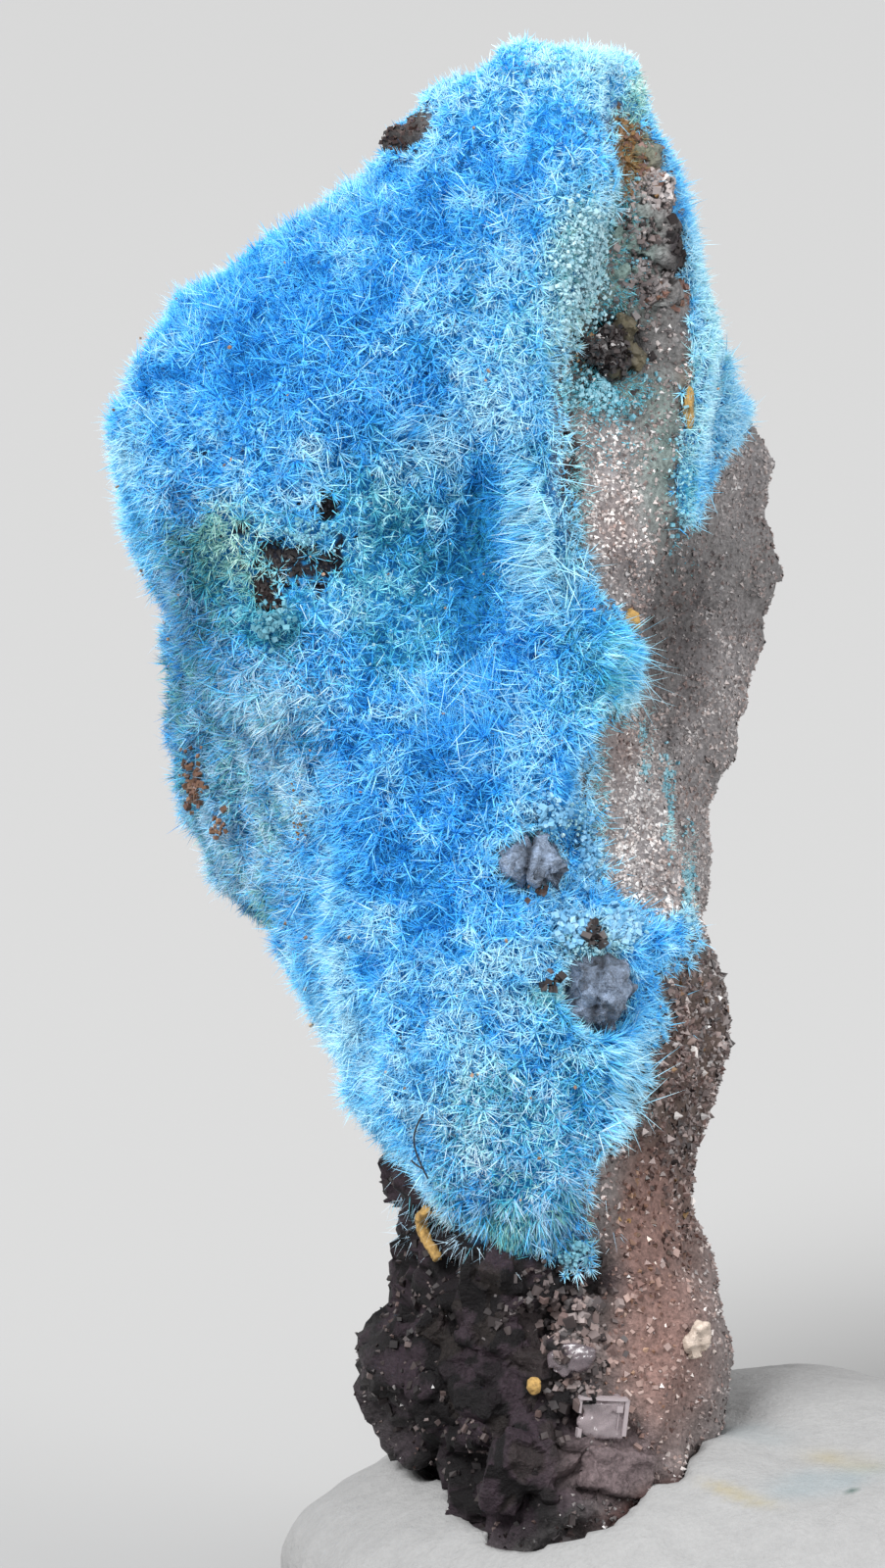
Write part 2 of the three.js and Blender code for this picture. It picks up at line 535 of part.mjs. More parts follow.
// The putty: rings that swell to a waist and close in a dome, dented by fingers
function puttyGeometry() {
  const { x, y, halfWidth, halfDepth, height, waist, foot, rings, columns } = PUTTY;
  const points = [new THREE.Vector3(x, y, 0)];
  for (let r = 0; r < rings; r++) {
    // from straight down at the foot, past level at the waist, to nearly straight up
    const climb = THREE.MathUtils.lerp(-Math.acos(foot), Math.PI / 2, r / rings);
    const out = Math.cos(climb);
    const lift = climb < 0 ? waist * (1 + Math.sin(climb) / Math.sin(Math.acos(foot)))
      : waist + (height - waist) * Math.sin(climb);
    for (let c = 0; c < columns; c++) {
      const angle = (2 * Math.PI * c) / columns;
      const [dx, dy] = [Math.cos(angle), Math.sin(angle)];
      const pressed = 1 + 0.05 * noise(dx * 1.3 + 4, dy * 1.3, lift / 2);
      const px = x + halfWidth * out * pressed * dx;
      const py = y + halfDepth * out * pressed * dy;
      points.push(new THREE.Vector3(px, py, lift + puttyRise(px, py) * Math.max(0, lift - waist)));
    }
  }
  const top = points.push(new THREE.Vector3(x, y, height + puttyRise(x, y) * (height - waist))) - 1;
  const faces = [];
  const at = (r, c) => 1 + r * columns + (c % columns);
  for (let c = 0; c < columns; c++) {
    faces.push(0, at(0, c + 1), at(0, c), top, at(rings - 1, c), at(rings - 1, c + 1));
    for (let r = 0; r < rings - 1; r++) {
      faces.push(at(r, c), at(r, c + 1), at(r + 1, c + 1), at(r, c), at(r + 1, c + 1), at(r + 1, c));
    }
  }
  return new THREE.BufferGeometry().setFromPoints(points).setIndex(faces);
}

// A geometry a little larger all round, to cut the socket that it sits in
function eased(geometry, gap) {
  const merged = mergeVertices(bareCopy(geometry), 1e-4);
  merged.computeVertexNormals();
  return pushedOut(merged, () => gap);
}

function bareCopy(geometry) {
  const bare = geometry.index ? geometry.toNonIndexed() : geometry.clone();
  bare.deleteAttribute("normal");
  bare.deleteAttribute("uv");
  return bare;
}

const form = rockForm();
const rockSkin = pushedOut(form, rockRoughness);
rockSkin.computeVertexNormals();

const pieces = {};
Object.entries(KNOBS).forEach(([name, knob], i) => {
  pieces[name] = solidOf(knobGeometry(rockSkin, knob, 3 * i));
});
pieces.black_crystal_cluster = blackCluster(rockSkin);
for (const [name, plate] of Object.entries(PLATES)) {
  pieces[name] = solidOf(plateGeometry(rockSkin, plate));
}
pieces.ochre_curl = solidOf(ochreCurl(rockSkin));
Object.entries(OCHRE_GRAINS).forEach(([name, { u, v, radius }], i) => {
  const place = stonePoint(u, v, surfaceDepth(rockSkin, u, v) - radius * 0.3);
  pieces[name] = solidOf(placed(grain(radius, [1, 1.2, 0.8], 20 + i, 0), place));
});

// Each small piece sits in a socket of the rock and of the felt
const sockets = Object.values(pieces)
  .map((piece) => solidOf(eased(geometryOf(piece), CONTACT_GAP)))
  .reduce((all, socket) => all.add(socket));

const growths = druse(rockSkin);
const grownOnto = (solid, parts) => parts.reduce((all, part) => all.add(solidOf(part)), solid);
const rock = grownOnto(solidOf(rockSkin), growths);
const rockEased = grownOnto(
  solidOf(pushedOut(form, (p) => rockRoughness(p) + CONTACT_GAP)),
  growths.map((part) => eased(part, CONTACT_GAP)),
);
const felt = solidOf(pushedOut(form, feltDepth))
  .intersect(feltRegion())
  .subtract(rockEased)
  .subtract(sockets);
pieces.cyanotrichite_crust = felt;
pieces.matrix_rock = rock.subtract(sockets);

// Out of the stone's frame, and into the putty
const inWorld = (solid) => solidOf(geometryOf(solid).applyMatrix4(stoneToWorld));
for (const name of Object.keys(pieces)) pieces[name] = inWorld(pieces[name]);
const footSocket = solidOf(eased(geometryOf(inWorld(rock)), CONTACT_GAP));
pieces.putty_mount = solidOf(puttyGeometry()).subtract(footSocket);

const FINISHES = {
  matrix_rock: { color: 0x6f6160, roughness: 0.8 },
  cyanotrichite_crust: { color: 0x5aa9e6, roughness: 0.75 },
  grey_quartz_knob_upper: { color: 0x6c7480, roughness: 0.5 },
  grey_quartz_knob_lower: { color: 0x6c7480, roughness: 0.5 },
  black_crystal_cluster: { color: 0x1b1a1e, roughness: 0.25 },
  clear_square_crystal: { color: 0xb9aeb0, roughness: 0.15 },
  clear_flake: { color: 0x9c9094, roughness: 0.2 },
  cream_flake: { color: 0xc9b8a4, roughness: 0.4 },
  ochre_curl: { color: 0xb98a3a, roughness: 0.8 },
  ochre_grain_foot: { color: 0xb98a3a, roughness: 0.8 },
  ochre_grain_side: { color: 0xb98a3a, roughness: 0.8 },
  ochre_fleck_rim: { color: 0xb98a3a, roughness: 0.8 },
  putty_mount: { color: 0xbdbbb5, roughness: 0.85 },
};

const specimen = new THREE.Group();
for (const [name, finish] of Object.entries(FINISHES)) {
  const material = new THREE.MeshStandardMaterial({ ...finish, metalness: 0 });
  const mesh = new THREE.Mesh(geometryOf(pieces[name]), material);
  mesh.name = name;
  specimen.add(mesh);
}
// Stand the whole on z = 0, with the middle of its box over the origin
const box = new THREE.Box3().setFromObject(specimen);
const middle = box.getCenter(new THREE.Vector3());
specimen.position.set(-middle.x, -middle.y, -box.min.z);

export default specimen;
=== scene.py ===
# %% [markdown]
# # Cyanotrichite on quartz rock, held in mounting putty
# A splinter of sugary quartz rock stands upright with its foot pressed into a blob of putty. Its
# front, left side and top wear a felt of blue cyanotrichite needles, here mostly a tenth to a
# quarter of a millimetre long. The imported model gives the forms, and this script gives them their
# skin: a quarter of a million needles, thousands of quartz grains, dark broken rock and glassy
# crystals.

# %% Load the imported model
import math

import bpy
import numpy as np
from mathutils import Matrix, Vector
from mathutils.bvhtree import BVHTree


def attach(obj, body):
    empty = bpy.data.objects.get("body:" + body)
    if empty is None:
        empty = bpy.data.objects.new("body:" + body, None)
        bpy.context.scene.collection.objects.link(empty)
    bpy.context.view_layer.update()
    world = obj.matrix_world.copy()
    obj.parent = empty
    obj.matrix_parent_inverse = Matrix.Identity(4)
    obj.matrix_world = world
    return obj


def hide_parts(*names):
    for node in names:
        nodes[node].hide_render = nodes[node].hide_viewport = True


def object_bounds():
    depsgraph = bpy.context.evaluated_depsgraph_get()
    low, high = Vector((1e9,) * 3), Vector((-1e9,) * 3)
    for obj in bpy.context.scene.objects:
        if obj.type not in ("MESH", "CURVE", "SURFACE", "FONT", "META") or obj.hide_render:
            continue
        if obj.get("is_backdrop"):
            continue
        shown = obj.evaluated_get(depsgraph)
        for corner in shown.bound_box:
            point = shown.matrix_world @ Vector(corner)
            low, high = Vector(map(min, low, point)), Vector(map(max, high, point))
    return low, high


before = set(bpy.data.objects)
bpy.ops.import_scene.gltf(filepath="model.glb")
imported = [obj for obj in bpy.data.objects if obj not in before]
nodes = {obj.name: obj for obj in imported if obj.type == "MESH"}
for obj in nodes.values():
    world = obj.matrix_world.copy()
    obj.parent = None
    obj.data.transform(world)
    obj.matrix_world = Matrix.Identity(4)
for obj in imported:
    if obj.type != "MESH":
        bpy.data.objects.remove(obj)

cad_low, cad_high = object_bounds()
print("packed model from", tuple(round(x * 1000, 2) for x in cad_low), "to",
      tuple(round(x * 1000, 2) for x in cad_high), "mm")

# %% [markdown]
# ## The stone's own frame
# The stone leans back twelve degrees in its putty. Everything on it is placed in a frame that
# leans with it, in millimetres: u to the right, v up along the stone, w away from the viewer. It
# could also be done by turning Blender objects, but plain arrays are easier to measure and mix.

# %% The stone's own frame
MM = 0.001
LEAN = math.radians(12)
STONE_ORIGIN = np.array([0.330, -2.306, 2.1])
STONE_AXES = np.array([
    [1.0, 0.0, 0.0],
    [0.0, math.sin(LEAN), math.cos(LEAN)],
    [0.0, math.cos(LEAN), -math.sin(LEAN)],
])


def to_stone(points):
    """Row-frame millimetres to u, v, w."""
    return (points - STONE_ORIGIN) @ STONE_AXES.T


def from_stone(points):
    """u, v, w to row-frame millimetres."""
    return np.asarray(points, float) @ STONE_AXES + STONE_ORIGIN


def turned_away(normals):
    """From -1 where a surface faces the viewer to 1 where it faces away."""
    return to_stone(normals + STONE_ORIGIN)[:, 2]


def on_front(normals):
    """1 where a surface faces the viewer or is seen from the side, 0 elsewhere."""
    return 1.0 * (turned_away(normals) < 0.35)


print(f"the stone leans back {math.degrees(LEAN):.0f} degrees")

# %% [markdown]
# ## Noise
# Two kinds of unevenness shape this stone: smooth lumps, and blocks as broken rock has them.
# Blender's own textures could give them, but here the needles need the same values as the rock. So
# both come from one steady hash of whole numbers, and each run gives the same stone.

# %% Noise
def hashed(cells):
    """A steady number from 0 to 1 for each row of three whole numbers.

    The odd factors mean nothing. They only scramble the digits.
    """
    h = np.sin(cells[:, 0] * 127.1 + cells[:, 1] * 311.7 + cells[:, 2] * 74.7) * 43758.5453
    return h - np.floor(h)


NEIGHBOURS = np.array([(x, y, z) for x in (-1, 0, 1) for y in (-1, 0, 1) for z in (-1, 0, 1)], float)
CORNERS = np.array([(x, y, z) for x in (0, 1) for y in (0, 1) for z in (0, 1)], float)


def lumps(points, size, seed=0.0):
    """Smooth noise from -1 to 1 whose lumps are about size millimetres across."""
    q = points / size + seed * 17.31
    cell = np.floor(q)
    f = q - cell
    f = f * f * (3 - 2 * f)
    total = np.zeros(len(points))
    for corner in CORNERS:
        total += np.prod(np.abs(1 - corner - f), axis=1) * hashed(cell + corner)
    return 2 * total - 1


def blocks(points, size, seed=0.0):
    """Noise from -1 to 1 that is steady over each broken block about size millimetres across."""
    q = points / size + seed * 11.7
    cell = np.floor(q)
    nearest = np.full(len(q), 9.0)
    value = np.zeros(len(q))
    for offset in NEIGHBOURS:
        other = cell + offset
        middle = other + np.stack([hashed(other), hashed(other + 19), hashed(other + 37)], axis=1)
        away = np.linalg.norm(q - middle, axis=1)
        closer = away < nearest
        nearest[closer] = away[closer]
        value[closer] = hashed(other + 53)[closer]
    return 2 * value - 1


# %% [markdown]
# ## Surfaces as arrays
# Everything on this stone is small and there is a lot of it, so it is worked out in whole arrays
# and not object by object. A surface is kept as points in millimetres, triangles and point normals.

# %% Surfaces as arrays
def unit(vectors):
    """The same directions, each of length one."""
    return vectors / np.maximum(np.linalg.norm(vectors, axis=-1, keepdims=True), 1e-9)


def side_ways(normals):
    """Two directions square to each normal and to each other."""
    helper = np.where(np.abs(normals[:, 2:3]) < 0.8, [[0.0, 0.0, 1.0]], [[1.0, 0.0, 0.0]])
    a = unit(np.cross(helper, normals))
    return a, np.cross(normals, a)


def face_vectors(points, triangles):
    """Each triangle's normal, as long as twice its area."""
    a, b, c = (points[triangles[:, corner]] for corner in range(3))
    return np.cross(b - a, c - a)


def point_normals(points, triangles):
    """At each point the mean direction of its triangles, large ones counting more."""
    vectors = face_vectors(points, triangles)
    normals = np.zeros_like(points)
    for corner in range(3):
        np.add.at(normals, triangles[:, corner], vectors)
    return unit(normals)


# %% [markdown]
# Arrays are read from Blender's meshes and written back to them in one go. Adding a point at a time
# would give the same mesh, only far too slowly.

# %% Reading and making meshes
def mesh_arrays(thing):
    """Points in millimetres and triangles of an object as it shows, modifiers included."""
    shown = thing.evaluated_get(bpy.context.evaluated_depsgraph_get())
    mesh = shown.to_mesh()
    mesh.calc_loop_triangles()
    points = np.empty(len(mesh.vertices) * 3)
    mesh.vertices.foreach_get("co", points)
    triangles = np.empty(len(mesh.loop_triangles) * 3, np.int32)
    mesh.loop_triangles.foreach_get("vertices", triangles)
    shown.to_mesh_clear()
    return points.reshape(-1, 3) / MM, triangles.reshape(-1, 3)


def make_piece(name, points, triangles, smooth=True):
    """A mesh object from points in millimetres."""
    mesh = bpy.data.meshes.new(name)
    mesh.vertices.add(len(points))
    mesh.vertices.foreach_set("co", (np.asarray(points) * MM).astype(np.float32).ravel())
    mesh.loops.add(len(triangles) * 3)
    mesh.loops.foreach_set("vertex_index", np.asarray(triangles, np.int32).ravel())
    mesh.polygons.add(len(triangles))
    mesh.polygons.foreach_set("loop_start", np.arange(0, len(triangles) * 3, 3, dtype=np.int32))
    mesh.polygons.foreach_set("use_smooth", np.full(len(triangles), smooth))
    mesh.update(calc_edges=True)
    piece = bpy.data.objects.new(name, mesh)
    bpy.context.scene.collection.objects.link(piece)
    return piece


# %% [markdown]
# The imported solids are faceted. Subdividing them would keep their long thin triangles. Remeshing
# them into even cells and smoothing a little takes the facets away, and gives a skin fine enough
# for grain.

# %% Even skins
def even_skin(points, triangles, cell, rounds):
    """Closed shells, in millimetres, fused into one skin with even cells, softened a few rounds."""
    work = make_piece("work", points / MM, triangles)
    remesh = work.modifiers.new("even mesh", "REMESH")
    remesh.mode = "VOXEL"
    remesh.voxel_size = cell
    soften = work.modifiers.new("soften", "SMOOTH")
    soften.factor = 0.5
    soften.iterations = rounds
    points, triangles = mesh_arrays(work)
    bpy.data.objects.remove(work)
    points = points * MM
    return points, triangles, point_normals(points, triangles)


def fine_skin(names, cell, rounds):
    """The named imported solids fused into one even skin."""
    points, triangles, start = [], [], 0
    for name in names:
        p, t = mesh_arrays(nodes[name])
        points.append(p)
        triangles.append(t + start)
        start += len(p)
    return even_skin(np.concatenate(points), np.concatenate(triangles), cell, rounds)


# %% [markdown]
# Needles, grains and chips all stand at random places on a skin. Geometry nodes can scatter them,
# but here each one also needs numbers of its own from the place where it stands. A weight at the
# skin's points says where there are many.

# %% Random places on a surface
def scatter(surface, weight, count, dice):
    """Random places on a surface, by a weight at its points: place, normal, nearest point."""
    points, triangles, normals = surface
    share_of = np.linalg.norm(face_vectors(points, triangles), axis=1) * weight[triangles].mean(axis=1)
    pick = triangles[dice.choice(len(triangles), count, p=share_of / share_of.sum())]
    share = dice.dirichlet((1, 1, 1), count)
    place = np.einsum("nk,nkd->nd", share, points[pick])
    return place, unit(np.einsum("nk,nkd->nd", share, normals[pick])), pick[:, 0]


def joined(rows):
    """Rows of arrays laid end to end, column by column."""
    return [np.concatenate(column) for column in zip(*rows)]


# %% [markdown]
# ## Where felt lies on rock
# Rock and felt are fused into one smooth skin. A point of that skin belongs to the felt if the
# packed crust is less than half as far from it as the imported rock. The felt's depth is the
# distance to the rock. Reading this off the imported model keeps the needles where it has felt.

# %% Where felt lies on rock
def tree_of(name):
    """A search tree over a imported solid."""
    points, triangles = mesh_arrays(nodes[name])
    return BVHTree.FromPolygons(points.tolist(), triangles.tolist())


def distances(tree, points):
    """How far each point is from the surface in the tree."""
    return np.array([tree.find_nearest(p)[3] for p in points.tolist()])


# Millimetres: felt thinner than this is none, rock this near the crust is under it, and felt
# this thin is a border
THINNEST = 0.05
TOUCHING = 0.06
THIN = 0.16
rock_tree = tree_of("matrix_rock")
crust_tree = tree_of("cyanotrichite_crust")
skin = fine_skin(["matrix_rock", "cyanotrichite_crust"], cell=0.16, rounds=4)
skin_depth = distances(rock_tree, skin[0])
felted = (distances(crust_tree, skin[0]) < 0.5 * skin_depth) & (skin_depth > THINNEST)
felt_triangles = skin[1][felted[skin[1]].any(axis=1)]
felt = (skin[0], felt_triangles, skin[2])
felt_area = 0.5 * np.linalg.norm(face_vectors(skin[0], felt_triangles), axis=1).sum()
print(f"felt covers {felt_area:.0f} mm2 and is {skin_depth[felted].mean():.2f} mm deep on average")
skin_tree = BVHTree.FromPolygons(skin[0].tolist(), skin[1].tolist())
skin_uvw = to_stone(skin[0])
skin_facing = on_front(skin[2])
rock = fine_skin(["matrix_rock"], cell=0.1, rounds=3)
under_felt = np.clip(1.5 - distances(crust_tree, rock[0]) / TOUCHING, 0, 1)
cover = distances(skin_tree, rock[0])
thin_edge = under_felt * (cover < THIN)

# %% [markdown]
# ## Where things lie
# Colour and growth change from place to place on the stone. A painted picture could hold that, but
# this stone is written down as soft ovals instead, so that one table can steer meshes and colours
# alike. Each row holds a name, u and v of the middle, two radii, a turn in degrees and a strength.

# %% Patches
def patch_strength(uvw, table):
    """The summed strength of a table's ovals at each place."""
    total = np.zeros(len(uvw))
    for _, u, v, wide, high, turn, strength in table:
        c, s = math.cos(math.radians(turn)), math.sin(math.radians(turn))
        du, dv = uvw[:, 0] - u, uvw[:, 1] - v
        across, along = (c * du - s * dv) / wide, (s * du + c * dv) / high
        total += strength * np.exp(-(across ** 2 + along ** 2) ** 1.5)
    return total


# %% [markdown]
# ## Holes and lays
# Small holes go through the felt, and the rock at their bottoms is painted dark as shade. In some
# places the needles all lie over one way, as a brush or a whirl, and run longer than elsewhere.
# Combing real hair curves could give that, but a short table of lays is enough for needles that are
# straight.

# %% Holes and lays
# Holes are only in the front, where w is less than this
BACK_FROM = 1.5
# u, v, radius
PITS = [
    (-4.08, 13.27, 0.15), (-5.15, 12.98, 0.09), (-5.0, 12.86, 0.08), (-4.86, 12.74, 0.1),
    (-4.72, 12.66, 0.1), (-4.6, 12.58, 0.12), (-4.45, 12.51, 0.14), (-4.28, 12.46, 0.14),
    (-4.1, 12.52, 0.14), (-3.96, 12.63, 0.11), (-3.91, 12.77, 0.09), (-3.97, 12.9, 0.05),
    (-4.89, 12.26, 0.12), (-4.84, 12.07, 0.14), (-4.7, 12.02, 0.07), (-4.14, 12.27, 0.09),
    (-4.2, 12.13, 0.06), (-5.43, 12.87, 0.04), (-5.73, 13.87, 0.05), (-5.65, 13.94, 0.05),
    (-0.86, 8.96, 0.09), (-0.84, 9.12, 0.08),
]
# u and v, radii, turn, the lean in u and v, how loosely they keep to it, how much longer they are
LAYS = [
    ("silky brush", -1.25, 12.97, 0.55, 1.15, -10, (-1.3, -0.25), 0.25, 1.7),
    ("whirl of hairs", -3.0, 14.2, 0.5, 0.4, 0, (0.9, 0.9), 0.5, 1.7),
    ("bulge fringe", -0.15, 11.3, 0.35, 0.6, 0, (1.3, -0.3), 0.4, 1.5),
    ("tongue's right fringe", -0.2, 6.0, 0.4, 1.2, 0, (1.1, -0.5), 0.5, 1.35),
    ("tongue's hanging fringe", -1.6, 4.1, 1.2, 0.4, -15, (0.2, -1.2), 0.8, 1.25),
    ("long-needle hollow", -2.3, 10.6, 0.8, 0.9, 0, (-0.3, 0.5), 0.9, 1.6),
    ("left ridge", -4.1, 8.0, 0.3, 2.0, 12, (-0.8, -0.2), 0.7, 1.1),
]


def outside_pits(points, margin=1.0):
    """True where a point is outside all holes. Their rims are ragged."""
    uvw = to_stone(points)
    ragged = margin * (1 + 0.5 * lumps(points, 0.1, 23))
    keep = np.ones(len(uvw), bool)
    for u, v, radius in PITS:
        keep &= (uvw[:, 0] - u) ** 2 + (uvw[:, 1] - v) ** 2 > (ragged * radius) ** 2
    return keep | (uvw[:, 2] > BACK_FROM)


print(len(PITS), "holes in the felt and", len(LAYS), "lays")

# %% [markdown]
# ## The needles
# Cyanotrichite grows as sprays: from one seed many needles fan out until they meet the next spray.
# Under the sprays lies a pile of single needles, and a few long strays cross over everything.
# Blender's hair could grow them, but the finished model holds mesh only. So each needle is worked
# out here as a root, a heading, a length and a tint. They stand on small bumps, which give the felt
# its light and shade.

# %% Lie and ground of the needles
rng = np.random.default_rng(7)


def lie_of_needles(points):
    """Lean as a direction, looseness and length factor for needles at these places."""
    uvw = to_stone(points)
    lean = np.zeros((len(uvw), 3))
    loose = np.ones(len(uvw))
    longer = np.ones(len(uvw))
    for name, u, v, wide, high, turn, (lean_u, lean_v), looseness, length in LAYS:
        here = np.clip(patch_strength(uvw, [(name, u, v, wide, high, turn, 1.0)]), 0, 1)
        lean += here[:, None] * (lean_u * STONE_AXES[0] + lean_v * STONE_AXES[1])
        loose += here * (looseness - 1)
        longer += here * (length - 1)
    return lean, loose, longer


def felt_spots(count, dice):
    """Places on the felt's small bumps: place, normal, depth of felt and height of the bump."""
    place, normal, near = scatter(felt, np.ones(len(skin[0])), count, dice)
    depth = skin_depth[near]
    bump = 0.14 * lumps(place, 0.55, 21) + 0.06 * lumps(place, 0.22, 22) - 0.04
    bump *= np.clip(depth / 0.3, 0, 1)
    return place + normal * bump[:, None], normal, depth, bump


def tint_of(bump, depth):
    """Bumps catch the light, dips lie in blue shade, and thin felt is paler than deep felt."""
    return 1.4 * bump + 0.3 * np.clip(1 - depth / 0.2, 0, 1)


# %% [markdown]
# A spray is a fan of needles from one seed. The seeds keep their distance, as sprays that grew up
# side by side do. Purely random seeds would leave clumps and bald spots.

# %% Sprays
SPRAYS = 8600
SPRAY_GAP = 0.115
NEEDLES_PER_SPRAY = 18


def keeping_distance(places, gap, most):
    """Indices of places that are at least a gap apart."""
    around = NEIGHBOURS.astype(int)
    kept, grid = [], {}
    for i, p in enumerate(places / gap):
        cell = np.floor(p).astype(int)
        near = [j for offset in around for j in grid.get(tuple(cell + offset), ())]
        if all(np.sum((places[j] / gap - p) ** 2) > 1 for j in near):
            grid.setdefault(tuple(cell), []).append(i)
            kept.append(i)
        if len(kept) == most:
            break
    return kept


def spray_needles(dice):
    """Fans of needles from seeds that keep their distance."""
    place, normal, depth, bump = felt_spots(SPRAYS * 3, dice)
    kept = keeping_distance(place, SPRAY_GAP, SPRAYS)
    place, normal, depth, bump = place[kept], normal[kept], depth[kept], bump[kept]
    lean, loose, longer = lie_of_needles(place)
    lean -= normal * np.sum(lean * normal, axis=1, keepdims=True)
    size = np.clip(dice.normal(1.0, 0.28, len(place)), 0.5, 1.8)
    spray = np.repeat(np.arange(len(place)), NEEDLES_PER_SPRAY)
    a, b = side_ways(normal)
    turn = dice.uniform(0, 2 * math.pi, len(spray))[:, None]
    away = np.sqrt(dice.random(len(spray)))
    out = a[spray] * np.cos(turn) + b[spray] * np.sin(turn)
    tilt = (1.15 * away * loose[spray] + dice.normal(0, 0.15, len(spray)))[:, None]
    heading = unit(normal[spray] * np.cos(tilt) + out * np.sin(tilt) + lean[spray])
    sunk = np.minimum(0.7 * depth, 0.14)
    root = place[spray] - normal[spray] * sunk[spray, None] + out * (0.03 * away)[:, None]
    reach = (np.clip(depth, 0.12, 0.2) * size * longer)[spray] * dice.uniform(0.75, 1.2, len(spray))
    return root, heading, reach, (tint_of(bump, depth) + dice.normal(0.06, 0.14, len(place)))[spray]


# %% [markdown]
# Between and under the sprays stand single needles, sunk deeper. They hide the ground. More sprays
# would do that too, but would look combed.

# %% Pile
PILE = 114000


def pile_needles(dice):
    """Single needles that stand all over the felt, sunk deeper than the sprays."""
    place, normal, depth, bump = felt_spots(PILE, dice)
    lean, loose, longer = lie_of_needles(place)
    heading = unit(normal + 0.7 * lean + dice.normal(0, 0.65, place.shape) * loose[:, None])
    root = place - normal * np.minimum(0.85 * depth, 0.2)[:, None]
    reach = np.clip(depth, 0.1, 0.22) * dice.uniform(0.7, 1.15, len(root)) * longer
    return root, heading, reach, tint_of(bump, depth) + dice.normal(-0.05, 0.08, len(root))


# %% [markdown]
# A few long strays lie across all others and catch the light. Along the felt's border the needles
# are short and thin out, so that it doesn't end in a step.

# %% Strays and border
STRAYS = 8000
EDGE = 9000


def stray_needles(dice):
    """Long pale needles that lie across the others. Those that point inwards are tipped up."""
    place, normal, depth, _ = felt_spots(STRAYS, dice)
    lean, _, longer = lie_of_needles(place)
    heading = unit(0.35 * normal + unit(dice.normal(0, 1, place.shape)) + 0.5 * lean)
    inward = np.sum(heading * normal, axis=1, keepdims=True) < 0.05
    heading = np.where(inward, unit(heading + 0.6 * normal), heading)
    root = place - normal * np.minimum(0.5 * depth, 0.1)[:, None]
    reach = dice.uniform(0.2, 0.36, len(root)) * longer * np.where(longer > 1.3, 1.45, 1.0)
    return root, heading, reach, dice.normal(0.22, 0.1, len(root)) + 0.2 * (longer > 1.3)


def edge_needles(dice):
    """Short needles where the felt thins out to nothing along its border."""
    place, normal, _ = scatter(rock, thin_edge, EDGE, dice)
    lean, loose, longer = lie_of_needles(place)
    heading = unit(normal + 0.7 * lean + dice.normal(0, 0.6, place.shape) * loose[:, None])
    reach = dice.uniform(0.08, 0.2, len(place)) * np.minimum(longer, 1.3)
    return place - 0.02 * normal, heading, reach, dice.normal(0.0, 0.12, len(place))


# %% [markdown]
# All of them are grown one group after the other. Holes stay clear, but for a few needles that
# cross them and more that reach in with their tips.

# %% Grow the needles
groups = [spray_needles(rng), pile_needles(rng), stray_needles(rng), edge_needles(rng)]
roots, headings, lengths, tints = joined(groups)
crossing = rng.random(len(roots))
clear = outside_pits(roots) | (crossing < 0.05)
clear &= outside_pits(roots + headings * lengths[:, None], 0.8) | (crossing < 0.3)
roots, headings, lengths, tints = roots[clear], headings[clear], lengths[clear], tints[clear]
print(len(roots), "needles")
